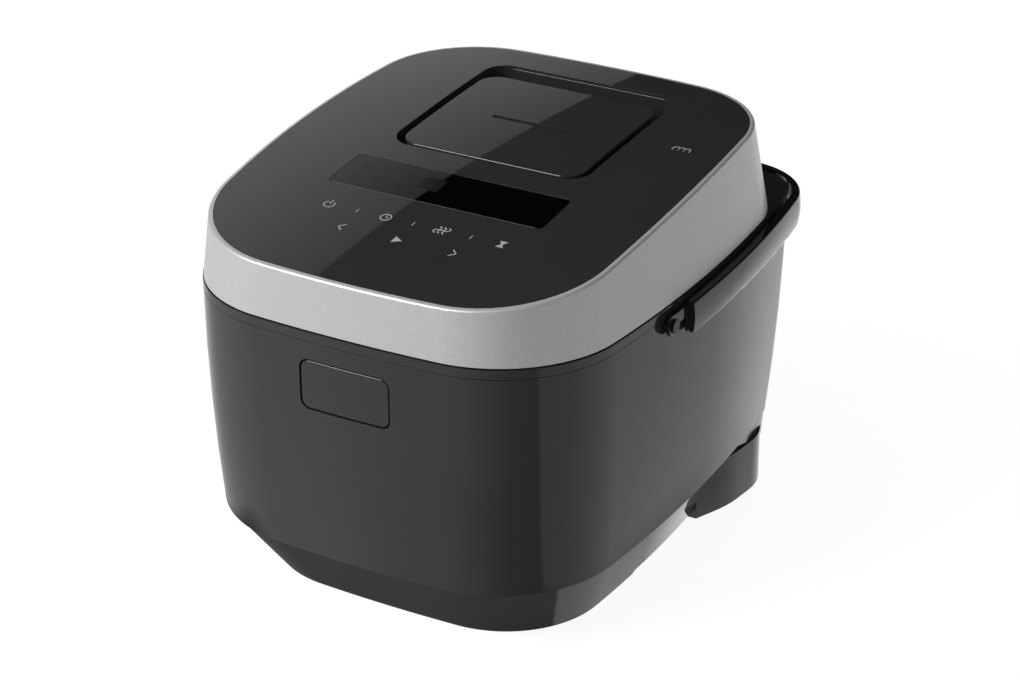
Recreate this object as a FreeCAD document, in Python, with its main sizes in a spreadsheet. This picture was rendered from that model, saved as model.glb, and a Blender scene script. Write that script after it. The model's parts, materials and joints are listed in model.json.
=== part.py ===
import FreeCAD, Part

import math
import os
from types import SimpleNamespace

import Sketcher
from FreeCAD import Rotation, Vector

# Induction rice cooker with a hinged lid and a carrying handle.
# Millimetres. +Z is up, the front faces -Y, and the origin is on the floor below the middle of the cooker.
# Sizes along Y count from the axis of the pot, which lies a little ahead of that middle.

SIZES = {
    # Levels, counted up from the floor
    "floor_gap": 0.8,
    "base_height": 43.0,
    "shell_height": 134.0,
    "seam": 0.3,
    "collar_height": 5.2,
    "lid_gap": 1.0,
    "lid_height": 56.3,

    # Body seen from above: an oblong with bowed sides and round corners, tapering down
    "body_half_width": 130.4,
    "body_front": 155.4,
    "body_rear": 172.0,
    "side_bow": 900.0,
    "front_corner": 74.0,
    "rear_corner": 31.0,
    "body_side_taper": 4.6,
    "body_front_taper": 5.8,
    "body_rear_taper": 13.0,
    "body_bulge": 1.7,
    "wall": 2.6,
    "wall_cut": 10.4,
    "slip": 0.3,

    # Collar on top of the shell, with the deck that carries the pot
    "deck_thickness": 2.2,
    "spigot_depth": 4.0,
    "spigot_wall": 2.2,

    # Lid: a leaning ring with a bowed top, highest near the rear
    "lid_step": 0.4,
    "lid_rear": 155.0,
    "lid_corner": 74.0,
    "lid_rear_corner": 64.5,
    "lid_side_lean": 6.75,
    "lid_front_lean": 6.0,
    "lid_rear_lean": 13.0,
    "lid_corner_lean": 4.0,
    "lid_trim": 4.0,
    "lid_overhang": 17.0,
    "lid_top_bow": 1667.0,
    "lid_top_peak": 145.0,
    "ring_wall": 2.6,
    "ring_lip": 1.8,
    "ledge_width": 5.0,
    "ledge_thickness": 2.0,
    "panel_thickness": 2.0,
    "panel_gap": 0.25,
    "panel_sink": 0.15,

    # Display window in the panel
    "display_half_width": 68.0,
    "display_front": -63.0,
    "display_depth": 34.0,
    "display_thickness": 1.2,
    "display_border": 3.0,
    "display_corner": 3.0,

    # Steam tray and steam cap
    "vent_half_width": 62.5,
    "vent_front": -9.0,
    "vent_depth": 124.0,
    "vent_corner": 14.0,
    "vent_wall": 2.0,
    "vent_floor_height": 28.5,
    "outlet_y": 49.0,
    "outlet_radius": 13.0,
    "cap_side_gap": 4.5,
    "cap_front_gap": 3.5,
    "cap_rear_gap": 17.0,
    "cap_sink": 0.6,
    "cap_thickness": 2.2,
    "cap_lip": 0.8,
    "cap_wall": 1.8,
    "cap_overhang": 8.0,
    "cap_base_thickness": 2.0,
    "slit_half_length": 25.0,
    "slit_width": 3.4,
    "slit_y": 45.6,
    "spout_radius": 9.6,
    "spout_wall": 1.8,
    "spout_length": 7.0,

    # Underside of the lid
    "frame_lift": 0.5,
    "frame_thickness": 3.0,
    "pan_radius": 104.0,
    "pan_height": 16.5,
    "pan_wall": 2.5,
    "inner_lid_radius": 99.0,
    "inner_lid_thickness": 0.8,
    "inner_lid_lift": 2.0,
    "inner_lid_dome": 5.0,
    "inner_lid_crown": 60.0,
    "inner_lid_brim": 6.0,
    "inner_lid_hole": 3.0,
    "inner_lid_hole_circle": 34.0,
    "inner_lid_hole_count": 6,
    "gasket_lip_radius": 110.5,
    "gasket_gap": 0.4,
    "gasket_height": 2.4,
    "heater_thickness": 1.5,
    "heater_radius": 92.0,
    "board_thickness": 1.6,
    "board_half_width": 80.0,
    "board_front": -125.0,
    "board_depth": 53.0,
    "module_thickness": 5.0,

    # Hinge at the rear
    "hinge_y": 162.0,
    "hinge_drop": 5.2,
    "hinge_pin_radius": 2.5,
    "hinge_pin_half_length": 69.0,
    "hinge_block_depth": 6.3,
    "hinge_block_half_width": 70.0,
    "knuckle_radius": 4.2,
    "arm_inner": 34.0,
    "arm_width": 24.0,
    "arm_reach": 18.0,
    "arm_shoulder": 4.0,
    "arm_gap": 0.4,
    "arm_rear_gap": 1.6,
    "running_gap": 0.05,
    "hinge_spring_wire": 1.0,
    "hinge_spring_half_length": 19.0,

    # Button and latch at the front
    "button_half_width": 28.4,
    "button_drop": 40.8,
    "button_height": 30.3,
    "button_corner": 6.0,
    "button_gap": 0.9,
    "button_sink": 0.3,
    "button_depth": 7.0,
    "button_wall": 2.2,
    "button_flange": 2.5,
    "latch_y": -134.5,
    "latch_drop": 37.0,
    "latch_pin_radius": 1.5,
    "latch_width": 12.0,
    "push_arm": 12.0,
    "latch_thickness": 3.0,
    "latch_boss_wall": 2.1,
    "catch_thickness": 2.0,
    "catch_width": 14.0,
    "catch_hook": 3.0,
    "catch_depth": 13.0,
    "gate_reach": 6.0,
    "bracket_thickness": 2.0,
    "bracket_wing": 15.0,
    "spring_seat": 7.5,
    "button_spring_radius": 5.0,
    "button_spring_wire": 0.9,

    # Carrying handle, folded back round the rear
    "handle_reach": 7.6,
    "handle_rear_reach": 16.0,
    "handle_depth": 7.5,
    "handle_corner": 49.0,
    "handle_inner_corner": 39.0,
    "handle_drop": 16.0,
    "handle_height": 19.0,
    "handle_round": 1.6,
    "handle_wall": 2.2,
    "handle_web": 3.0,
    "handle_gap": 1.5,
    "handle_end": -15.5,
    "handle_end_round": 2.0,
    "pivot_y": -33.0,
    "pivot_drop": 4.4,
    "pivot_radius": 2.6,
    "pivot_head_radius": 4.2,
    "pivot_head": 0.8,
    "ear_radius": 6.2,
    "ear_thickness": 2.4,
    "boss_radius": 4.2,
    "boss_depth": 10.0,

    # Plinth skirt, base tray and rear base
    "plinth_inset": 1.0,
    "plinth_half_width": 104.6,
    "plinth_front": 117.4,
    "plinth_rear": 105.0,
    "plinth_corner": 60.0,
    "skirt_wall": 2.2,
    "skirt_arch_front": -20.0,
    "skirt_arch_height": 3.4,
    "skirt_end_low": 56.5,
    "skirt_end_high": 45.0,
    "skirt_end_round": 18.0,
    "tray_bottom": 5.0,
    "tray_wall": 2.5,
    "tray_height": 34.0,
    "leg_front": 57.4,
    "leg_front_half_width": 107.6,
    "leg_hip": 82.3,
    "leg_hip_half_width": 117.3,
    "leg_hip_round": 80.0,
    "leg_rear_half_width": 123.0,
    "leg_rear": 146.0,
    "leg_corner": 36.0,
    "leg_height": 33.0,
    "leg_web_inset": 0.9,
    "band_bottom": 26.0,
    "band_front": 78.0,
    "band_rear": 130.0,
    "foot_radius": 8.0,
    "foot_recess": 2.0,
    "front_foot_x": 72.0,
    "front_foot_y": -78.0,
    "rear_foot_x": 97.0,
    "rear_foot_y": 104.0,

    # Pot, well and heating
    "pot_radius": 106.0,
    "pot_wall": 2.2,
    "pot_bottom": 62.0,
    "pot_corner": 38.0,
    "pot_base": 2.5,
    "pot_flange": 7.0,
    "pot_flange_thickness": 2.0,
    "pot_clearance": 2.0,
    "deck_clearance": 1.0,
    "well_wall": 2.5,
    "well_flange": 9.0,
    "warm_heater_height": 40.0,
    "warm_heater_thickness": 1.5,
    "coil_inner": 30.0,
    "coil_gap_inner": 58.0,
    "coil_gap_outer": 64.0,
    "coil_outer": 84.0,
    "coil_height": 5.5,
    "carrier_radius": 90.0,
    "carrier_thickness": 3.0,
    "carrier_hub": 5.0,
    "ferrite_length": 56.0,
    "ferrite_width": 12.0,
    "ferrite_height": 5.0,
    "ferrite_count": 6,
    "sensor_radius": 17.5,
    "sensor_cap": 3.8,
    "sensor_stem_radius": 14.0,
    "sensor_stem_length": 12.0,
    "sensor_wall": 3.0,
    "sensor_travel": 2.5,
    "sensor_sleeve_wall": 3.0,
    "sensor_hole_gap": 1.5,
    "sensor_spring_radius": 7.0,
    "sensor_spring_wire": 1.2,

    # Power electronics, fan and mains inlet
    "power_board_x": -85.0,
    "power_board_y": -64.0,
    "power_board_width": 104.0,
    "power_board_depth": 130.0,
    "power_board_lift": 6.0,
    "heat_sink_width": 36.0,
    "heat_sink_depth": 60.0,
    "heat_sink_height": 20.0,
    "heat_sink_base": 4.0,
    "fin_count": 6,
    "fin_thickness": 2.0,
    "capacitor_radius": 9.0,
    "capacitor_height": 20.0,
    "capacitor_pitch": 27.0,
    "fan_x": 62.0,
    "fan_y": 18.0,
    "fan_size": 62.0,
    "fan_height": 16.0,
    "fan_bore": 28.0,
    "fan_hub": 13.0,
    "fan_tip_gap": 1.0,
    "rotor_gap": 4.0,
    "fan_shaft": 2.0,
    "blade_count": 7,
    "blade_thickness": 1.6,
    "grille_slot_width": 3.0,
    "grille_slot_length": 14.0,
    "grille_slot_count": 14,
    "exhaust_slot_width": 3.2,
    "exhaust_slot_height": 32.0,
    "exhaust_slot_pitch": 7.0,
    "exhaust_slot_count": 9,
    "exhaust_x": -88.0,
    "exhaust_bottom": 58.0,
    "inlet_x": 62.0,
    "inlet_bottom": 56.0,
    "inlet_half_width": 15.0,
    "inlet_height": 20.0,
    "inlet_depth": 24.0,
    "inlet_wall": 2.0,
    "inlet_proud": 3.0,
    "inlet_pin_radius": 2.0,
    "inlet_pin_spacing": 12.0,
    "inlet_pin_sink": 8.0,
    "screw_radius": 1.8,
    "screw_head_radius": 3.4,
    "screw_head": 1.6,
    "screw_length": 8.0,
    "post_radius": 4.0,
    "lid_post_height": 8.0,
    "lid_screw_x": 100.0,
    "lid_screw_y": 105.0,
}


class Size:
    """A number together with the sheet formula that it comes from."""

    def __init__(self, value, formula):
        self.value = value
        self.formula = formula

    def __add__(self, other):
        other = as_size(other)
        return Size(self.value + other.value, f"({self.formula} + {other.formula})")

    def __sub__(self, other):
        other = as_size(other)
        return Size(self.value - other.value, f"({self.formula} - {other.formula})")

    def __mul__(self, other):
        other = as_size(other)
        return Size(self.value * other.value, f"({self.formula} * {other.formula})")

    def __truediv__(self, other):
        other = as_size(other)
        return Size(self.value / other.value, f"({self.formula} / {other.formula})")

    def __radd__(self, other):
        return as_size(other) + self

    def __rsub__(self, other):
        return as_size(other) - self

    def __rmul__(self, other):
        return as_size(other) * self

    def __neg__(self):
        return Size(-self.value, f"(0 - {self.formula})")

    def __float__(self):
        return float(self.value)


def as_size(number):
    if isinstance(number, Size):
        return number
    return Size(float(number), f"({float(number)!r})")


def make_sheet(document):
    """Write the driving dimensions to the sheet and hand them back by name."""
    sheet = document.addObject("Spreadsheet::Sheet", "Sizes")
    for row, (alias, value) in enumerate(SIZES.items(), start=1):
        sheet.set(f"A{row}", alias)
        sheet.set(f"B{row}", str(value))
        sheet.setAlias(f"B{row}", alias)
    document.recompute()
    return SimpleNamespace(**{alias: Size(value, f"Sizes.{alias}") for alias, value in SIZES.items()})


doc = FreeCAD.newDocument("rice_cooker")
size = make_sheet(doc)
nodes = []


def bind(piece, setting, length):
    piece.setExpression(setting, as_size(length).formula)


def place(piece, across, back, up=0.0):
    """Put a sub-part at its place, counted from the axis of the pot."""
    handle_rear = size.body_rear + size.handle_rear_reach
    pot_axis = (size.body_front - handle_rear) / 2
    for letter, length in (("x", across), ("y", pot_axis + back), ("z", up)):
        bind(piece, f"Placement.Base.{letter}", length)


def keep(piece, label):
    """Name a sub-part, list it for export and put it at its place."""
    piece.Label = label
    nodes.append(piece)
    place(piece, 0.0, 0.0)
    return piece


# Sketches: lines, arcs and outlines whose every size is bound to the sheet

PLANES = {
    "XY": ("XY_Plane", "z", 1, Rotation()),
    "XZ": ("XZ_Plane", "y", -1, Rotation(Vector(1, 0, 0), 90)),
    "YZ": ("YZ_Plane", "x", 1, Rotation(Vector(1, 1, 1), 120)),
}
ORIGIN = -1
ACROSS_AXIS = -1
UP_AXIS = -2
START = 1
END = 2
CENTRE = 3


def new_body(label, several_solids=False):
    body = doc.addObject("PartDesign::Body", label)
    body.AllowCompound = several_solids
    return keep(body, label)


def origin_feature(body, role):
    return next(feature for feature in body.Origin.OriginFeatures if feature.Role == role)


def sketch_on(body, plane, place=0.0):
    """A sketch on a plane at the given place along X, Y or Z; with no body it stands alone."""
    role, letter, sign, turn = PLANES[plane]
    if body is None:
        sketch = doc.addObject("Sketcher::SketchObject", "Sketch")
        sketch.Placement.Rotation = turn
        bind(sketch, f"Placement.Base.{letter}", place)
        return sketch
    sketch = body.newObject("Sketcher::SketchObject", "Sketch")
    sketch.AttachmentSupport = (origin_feature(body, role), [""])
    sketch.MapMode = "FlatFace"
    bind(sketch, "AttachmentOffset.Base.z", sign * as_size(place))
    return sketch


class Rules:
    """The constraints of one drawing step, added together, with their sizes bound to the sheet."""

    def __init__(self, sketch):
        self.sketch = sketch
        self.constraints = []
        self.formulas = []

    def add(self, kind, *where, length=None):
        size_now = [] if length is None else [float(length)]
        self.constraints.append(Sketcher.Constraint(kind, *where, *size_now))
        self.formulas.append(None if length is None else length.formula)

    def fix_point(self, element, end, across, up):
        """Hold a point at its distances from the sketch's own origin."""
        for axis, letter, length in ((UP_AXIS, "X", as_size(across)), (ACROSS_AXIS, "Y", as_size(up))):
            if length.value == 0.0:
                self.add("PointOnObject", element, end, axis)
            else:
                self.add(f"Distance{letter}", ORIGIN, START, element, end, length=length)

    def apply(self):
        first = self.sketch.ConstraintCount
        self.sketch.addConstraint(self.constraints)
        for index, formula in enumerate(self.formulas, start=first):
            if formula is not None:
                self.sketch.setExpression(f"Constraints[{index}]", formula)


def arc_between(centre, radius, start_angle, end_angle):
    circle = Part.Circle(Vector(centre[0], centre[1], 0), Vector(0, 0, 1), radius)
    return Part.ArcOfCircle(circle, start_angle, end_angle)


class Outline:
    """An oblong seen from above: bowed front, sides and rear, with round corners."""

    def __init__(self, half_width, front, rear, bow, front_corner, rear_corner):
        self.lengths = [as_size(n) for n in (half_width, front, rear, bow, front_corner, rear_corner)]

    def grown(self, by):
        return Outline(*(length + by for length in self.lengths))

    def blended(self, other, share):
        return Outline(*(mine + (theirs - mine) * share for mine, theirs in zip(self.lengths, other.lengths)))


def corner_centre(first, second, first_reach, second_reach, side):
    """Centre of a corner arc that touches two larger arcs from inside, on the given side."""
    apart = math.hypot(second[0] - first[0], second[1] - first[1])
    along = (first_reach ** 2 - second_reach ** 2 + apart ** 2) / (2 * apart)
    off = math.sqrt(first_reach ** 2 - along ** 2)
    step = ((second[0] - first[0]) / apart, (second[1] - first[1]) / apart)
    middle = (first[0] + along * step[0], first[1] + along * step[1])
    choices = [(middle[0] - turn * off * step[1], middle[1] + turn * off * step[0]) for turn in (1, -1)]
    return max(choices, key=lambda point: point[0] * side[0] + point[1] * side[1])


def angle_from(centre, point):
    return math.atan2(point[1] - centre[1], point[0] - centre[0])


def draw_oblong(sketch, outline):
    """Eight tangent arcs: front, right, rear and left, each followed by its corner."""
    half_width, front, rear, bow, front_corner, rear_corner = outline.lengths
    zero = as_size(0.0)
    middles = [(zero, bow - front), (half_width - bow, zero), (zero, rear - bow), (bow - half_width, zero)]
    corners = [front_corner, rear_corner, rear_corner, front_corner]
    sides = [(1, -1), (1, 1), (-1, 1), (-1, -1)]
    centres = [(float(across), float(up)) for across, up in middles]
    reach = [float(bow) - float(corner) for corner in corners]
    rounds = []
    for i in range(4):
        rounds.append(corner_centre(centres[i], centres[(i + 1) % 4], reach[i], reach[i], sides[i]))
    first = sketch.GeometryCount
    arcs = []
    for i in range(4):
        leave = angle_from(centres[i], rounds[i])
        enter_next = angle_from(centres[(i + 1) % 4], rounds[i])
        arcs.append(arc_between(centres[i], float(bow), angle_from(centres[i], rounds[i - 1]), leave))
        arcs.append(arc_between(rounds[i], float(corners[i]), leave, enter_next))
    sketch.addGeometry(arcs, False)
    count = len(arcs)
    rules = Rules(sketch)
    for i in range(count):
        rules.add("Tangent", first + i, END, first + (i + 1) % count, START)
    for i in range(4):
        side_arc = first + 2 * i
        rules.fix_point(side_arc, CENTRE, *middles[i])
        rules.add("Radius", side_arc, length=bow)
        rules.add("Radius", side_arc + 1, length=corners[i])
    rules.apply()


def draw_outline(sketch, corners):
    """A closed outline through (across, up) corners, each rounded where a radius follows."""
    count = len(corners)
    places = [Vector(float(corner[0]), float(corner[1]), 0) for corner in corners]
    arrive = list(places)
    leave = list(places)
    rounds = {}
    for i, corner in enumerate(corners):
        if len(corner) < 3:
            continue
        to_last = (places[i - 1] - places[i]).normalize()
        to_next = (places[(i + 1) % count] - places[i]).normalize()
        half_angle = to_last.getAngle(to_next) / 2
        reach = float(corner[2]) / math.tan(half_angle)
        arrive[i] = places[i] + to_last * reach
        leave[i] = places[i] + to_next * reach
        inward = (to_last + to_next).normalize() * (float(corner[2]) / math.sin(half_angle))
        rounds[i] = (places[i] + inward, to_last.cross(to_next).z < 0)
    first = sketch.GeometryCount
    lines = [Part.LineSegment(leave[i], arrive[(i + 1) % count]) for i in range(count)]
    sketch.addGeometry(lines, False)
    rules = Rules(sketch)
    for i, corner in enumerate(corners):
        before = first + (i - 1) % count
        after = first + i
        if i not in rounds:
            rules.add("Coincident", before, END, after, START)
            rules.fix_point(after, START, corner[0], corner[1])
            continue
        middle, turns_left = rounds[i]
        start, stop = (arrive[i], leave[i]) if turns_left else (leave[i], arrive[i])
        radius = as_size(corner[2])
        curve = arc_between(middle, float(radius), angle_from(middle, start), angle_from(middle, stop))
        arc = sketch.addGeometry(curve, False)
        near, far = (START, END) if turns_left else (END, START)
        rules.add("Tangent", before, END, arc, near)
        rules.add("Tangent", arc, far, after, START)
        rules.add("Radius", arc, length=radius)
        point = sketch.addGeometry(Part.Point(places[i]), True)
        rules.fix_point(point, START, corner[0], corner[1])
        rules.add("PointOnObject", point, START, before)
        rules.add("PointOnObject", point, START, after)
    rules.apply()


def limited_round(radius, last, corner, following):
    """The radius of a corner, or the largest that half of its shorter side has room for."""
    middle, before, after = (Vector(float(across), float(up), 0) for across, up in (corner, last, following))
    to_last = before - middle
    to_next = after - middle
    room = min(to_last.Length, to_next.Length) / 2 * math.tan(to_last.getAngle(to_next) / 2)
    return radius if float(radius) < room else room


def draw_box(sketch, left, low, right, high, radius=None):
    ends = [] if radius is None else [radius]
    draw_outline(sketch, [(left, low, *ends), (right, low, *ends), (right, high, *ends), (left, high, *ends)])


def draw_circle(sketch, across, up, radius):
    radius = as_size(radius)
    centre = Vector(float(as_size(across)), float(as_size(up)), 0)
    circle = sketch.addGeometry(Part.Circle(centre, Vector(0, 0, 1), float(radius)), False)
    rules = Rules(sketch)
    rules.fix_point(circle, CENTRE, across, up)
    rules.add("Radius", circle, length=radius)
    rules.apply()


# Features: pads and cuts run along +Z, -Y or +X from their sketch, or the other way with back=True


def pad(body, sketch, length, back=False):
    feature = body.newObject("PartDesign::Pad", "Pad")
    feature.Profile = sketch
    feature.Reversed = back
    bind(feature, "Length", length)
    return feature


def cut(body, sketch, length, back=False):
    feature = body.newObject("PartDesign::Pocket", "Pocket")
    feature.Profile = sketch
    feature.Reversed = not back
    bind(feature, "Length", length)
    return feature


def revolve(body, sketch):
    feature = body.newObject("PartDesign::Revolution", "Revolution")
    feature.Profile = sketch
    feature.ReferenceAxis = (sketch, ["V_Axis"])
    feature.Angle = 360.0
    return feature


def loft(body, kind, levels):
    """Loft in straight bands through oblongs, given as (height, outline) from the bottom up."""
    sketches = []
    for height, outline in levels:
        sketch = sketch_on(body, "XY", height)
        draw_oblong(sketch, outline)
        sketches.append(sketch)
    if body is None:
        feature = doc.addObject("Part::Loft", "Loft")
        feature.Sections = sketches
        feature.Solid = True
        feature.Ruled = True
        return feature
    feature = body.newObject(f"PartDesign::{kind}", kind)
    feature.Profile = sketches[0]
    feature.Sections = sketches[1:]
    feature.Ruled = True
    return feature


def mirror(body, features, plane="YZ_Plane"):
    feature = body.newObject("PartDesign::Mirrored", "Mirrored")
    feature.Originals = features
    feature.MirrorPlane = (origin_feature(body, plane), [""])
    body.Tip = feature
    return feature


def polar(body, features, count):
    feature = body.newObject("PartDesign::PolarPattern", "PolarPattern")
    feature.Originals = features
    feature.Axis = (origin_feature(body, "Z_Axis"), [""])
    feature.Angle = 360.0
    bind(feature, "Occurrences", count)
    body.Tip = feature
    return feature


def row(body, features, step, count):
    """Repeat features along X, one step apart."""
    feature = body.newObject("PartDesign::LinearPattern", "LinearPattern")
    feature.Originals = features
    feature.Direction = (origin_feature(body, "X_Axis"), [""])
    bind(feature, "Length", step * (count - 1))
    bind(feature, "Occurrences", count)
    body.Tip = feature
    return feature


def round_edges(body, radius, chosen):
    """Fillet the edges of the body's last feature that the test picks out."""
    doc.recompute()
    base = body.Tip
    names = [f"Edge{i}" for i, edge in enumerate(base.Shape.Edges, start=1) if chosen(edge)]
    feature = body.newObject("PartDesign::Fillet", "Fillet")
    feature.Base = (base, names)
    bind(feature, "Radius", radius)
    return feature


def extrude(sketch, length):
    feature = doc.addObject("Part::Extrusion", "Extrusion")
    feature.Base = sketch
    feature.DirMode = "Normal"
    feature.Solid = True
    bind(feature, "LengthFwd", length)
    return feature


def boolean(kind, base, tool):
    feature = doc.addObject(f"Part::{kind}", kind)
    feature.Base = base
    feature.Tool = tool
    return feature


def less(base, *tools):
    for tool in tools:
        base = boolean("Cut", base, tool)
    return base


# Levels and outlines that several pieces share

shell_top = size.base_height + size.shell_height
collar_bottom = shell_top + size.seam
collar_top = collar_bottom + size.collar_height
deck_top = collar_bottom + size.deck_thickness
lid_bottom = collar_top + size.lid_gap
lid_peak = lid_bottom + size.lid_height
plinth_top = size.base_height

lid_reach = size.lid_height + size.lid_trim
frame_bottom = lid_bottom + size.frame_lift
frame_top = frame_bottom + size.frame_thickness
pan_top = frame_bottom + size.pan_height
pan_ceiling = pan_top - size.pan_wall
vent_floor = lid_bottom + size.vent_floor_height
cap_bottom = vent_floor + size.vent_wall
flange_top = deck_top + size.pot_flange_thickness
hinge_z = collar_top - size.hinge_drop
pivot_height = shell_top - size.pivot_drop
handle_bottom = shell_top - size.handle_drop
handle_half_width = size.body_half_width + size.handle_reach
button_bottom = shell_top - size.button_drop
latch_pivot_height = shell_top - size.latch_drop
hinge_spring_radius = size.hinge_pin_radius + size.hinge_spring_wire / 2
latch_front = size.latch_y - size.latch_thickness / 2
button_back = size.button_depth - size.body_front
well_radius = size.pot_radius + size.pot_clearance
well_bottom = size.pot_bottom - size.pot_clearance - size.well_wall
tray_floor = size.tray_bottom + size.tray_wall
board_level = tray_floor + size.power_board_lift
coil_bottom = well_bottom - size.coil_height
carrier_bottom = coil_bottom - size.carrier_thickness
sensor_cap_low = size.pot_bottom - size.sensor_cap
sensor_seat = sensor_cap_low - size.sensor_travel - size.slip
sensor_hole = size.sensor_radius + size.sensor_hole_gap
SLOT_ROUND = 0.98
CHAMFER_FOR_ROUND = 2 - math.sqrt(2)
BODY_BANDS = 4
PARABOLA_PEAK = 0.25

lid_screw_places = [(across * size.lid_screw_x, back * size.lid_screw_y) for across in (1, -1) for back in (1, -1)]
board_inset = size.post_radius * 2
board_screw_places = [(size.power_board_x + board_inset + across * (size.power_board_width - board_inset * 2),
                       size.power_board_y + board_inset + back * (size.power_board_depth - board_inset * 2))
                      for across in (0, 1) for back in (0, 1)]

body_top_outline = Outline(size.body_half_width, size.body_front, size.body_rear,
                           size.side_bow, size.front_corner, size.rear_corner)
body_foot_outline = Outline(size.body_half_width - size.body_side_taper,
                            size.body_front - size.body_front_taper,
                            size.body_rear - size.body_rear_taper,
                            size.side_bow, size.front_corner, size.rear_corner)

lid_foot_outline = Outline(size.body_half_width - size.lid_step, size.body_front - size.lid_step, size.lid_rear,
                           size.side_bow, size.lid_corner, size.lid_rear_corner)
lid_head_outline = Outline(size.body_half_width - size.lid_step - size.lid_side_lean,
                           size.body_front - size.lid_step - size.lid_front_lean,
                           size.lid_rear - size.lid_rear_lean,
                           size.side_bow,
                           size.lid_corner - size.lid_corner_lean, size.lid_rear_corner)
plinth_head_outline = body_foot_outline.grown(-size.plinth_inset)
plinth_foot_outline = Outline(size.plinth_half_width, size.plinth_front, size.plinth_rear,
                              size.side_bow, size.plinth_corner, size.plinth_corner)


def body_levels(by):
    """The body's outlines from its foot to its top, bulging at the waist, grown or shrunk."""
    levels = []
    for step in range(BODY_BANDS + 1):
        share = step / BODY_BANDS
        bulge = size.body_bulge * (share * (1 - share) / PARABOLA_PEAK)
        levels.append((size.base_height + size.shell_height * share,
                       body_foot_outline.blended(body_top_outline, share).grown(bulge + by)))
    return levels


def lid_outline_at(height):
    return lid_foot_outline.blended(lid_head_outline, (height - lid_bottom) / (size.lid_height + size.lid_trim))


def plinth_outline_at(height):
    share = (height - size.floor_gap) / (plinth_top - size.floor_gap)
    return plinth_foot_outline.blended(plinth_head_outline, share)


# Lid: ring, panel, display window and steam tray are all trimmed by the same bowed top


def lid_loft(by):
    return loft(None, "Loft", [(lid_bottom, lid_foot_outline.grown(by)),
                               (lid_peak + size.lid_trim, lid_head_outline.grown(by))])


def lid_top_at(back, drop):
    """Height of the bowed lid top at a place along Y, lowered by drop."""
    away = size.lid_top_peak - back
    dip = away * away / (2 * size.lid_top_bow)
    return lid_peak - drop - dip - dip * dip / (2 * size.lid_top_bow)


def under_lid_top(drop):
    """Everything below the bowed lid top, lowered by drop."""
    overhang = size.lid_overhang
    front = -(size.body_front + overhang)
    rear = size.lid_rear + overhang
    floor = lid_bottom - overhang
    centre_up = lid_peak - drop - size.lid_top_bow
    half_width = size.body_half_width + overhang
    bow = float(size.lid_top_bow)
    centre = (float(size.lid_top_peak), float(centre_up))
    ends = []
    for across in (float(rear), float(front)):
        ends.append(Vector(across, centre[1] + math.sqrt(bow ** 2 - (across - centre[0]) ** 2), 0))
    low_front = Vector(float(front), float(floor), 0)
    low_rear = Vector(float(rear), float(floor), 0)
    sketch = sketch_on(None, "YZ", -half_width)
    sketch.addGeometry([
        arc_between(centre, bow, angle_from(centre, ends[0]), angle_from(centre, ends[1])),
        Part.LineSegment(ends[1], low_front),
        Part.LineSegment(low_front, low_rear),
        Part.LineSegment(low_rear, ends[0]),
    ], False)
    rules = Rules(sketch)
    for i in range(4):
        rules.add("Coincident", i, END, (i + 1) % 4, START)
    rules.fix_point(0, CENTRE, size.lid_top_peak, centre_up)
    rules.add("Radius", 0, length=size.lid_top_bow)
    rules.fix_point(2, START, front, floor)
    rules.fix_point(2, END, rear, floor)
    rules.add("Vertical", 1)
    rules.add("Vertical", 3)
    rules.apply()
    return extrude(sketch, half_width * 2)


def block(corners, radius, bottom, height):
    """An upright rounded block, from (left, front, right, rear)."""
    sketch = sketch_on(None, "XY", bottom)
    draw_box(sketch, *corners, radius)
    return extrude(sketch, height)


def display_corners(by):
    return (-size.display_half_width - by, size.display_front - by,
            size.display_half_width + by, size.display_front + size.display_depth + by)


def vent_corners(by):
    return (-size.vent_half_width - by, size.vent_front - by,
            size.vent_half_width + by, size.vent_front + size.vent_depth + by)


TOUCH = 0.01


def lies_on(edge, solid):
    """True where the middle of an edge is on the skin of a solid."""
    middle = edge.valueAt((edge.FirstParameter + edge.LastParameter) / 2)
    return Part.Vertex(middle).distToShape(solid.Shape.Shells[0])[0] < TOUCH


def round_rim(piece, radius, sides, top):
    """Round the edge in which the sides of a piece meet the bowed top."""
    doc.recompute()
    rounded = doc.addObject("Part::Fillet", "Fillet")
    rounded.Base = piece
    rounded.Edges = [(number, float(radius), float(radius)) for number, edge in enumerate(piece.Shape.Edges, start=1)
                     if lies_on(edge, sides) and lies_on(edge, top)]
    return rounded


def make_lid_ring():
    outer = lid_loft(0.0)
    top = under_lid_top(0.0)
    inside = -size.ring_wall
    cavity = boolean("Common", lid_loft(inside), under_lid_top(size.panel_thickness + size.ledge_thickness))
    recess = less(lid_loft(inside), under_lid_top(size.panel_thickness))
    opening = lid_loft(inside - size.ledge_width)
    ring = less(boolean("Common", outer, top), cavity, recess, opening)
    keep(round_rim(ring, size.ring_lip, outer, top), "lid_ring")


def make_lid_panel():
    sheet = boolean("Common", lid_loft(-size.ring_wall - size.panel_gap), under_lid_top(size.panel_sink))
    sheet = less(sheet, under_lid_top(size.panel_thickness))
    window = block(display_corners(size.panel_gap), size.display_corner + size.panel_gap, lid_bottom, lid_reach)
    recess = less(window, under_lid_top(size.panel_sink + size.display_thickness))
    opening = block(display_corners(-size.display_border), size.display_corner, lid_bottom, lid_reach)
    vent = block(vent_corners(0.0), size.vent_corner, lid_bottom, lid_reach)
    keep(less(sheet, recess, opening, vent), "lid_panel")


def make_display():
    pane = block(display_corners(0.0), size.display_corner, lid_bottom, lid_reach)
    pane = boolean("Common", pane, under_lid_top(size.panel_sink))
    keep(less(pane, under_lid_top(size.panel_sink + size.display_thickness)), "display_window")
    near = size.display_front + size.display_border
    far = size.display_front + size.display_depth - size.display_border
    hang_plate("display_module", near, far, size.display_half_width - size.display_border, size.module_thickness)
    hang_plate("control_board", size.board_front, size.board_front + size.board_depth, size.board_half_width,
               size.board_thickness)


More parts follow.
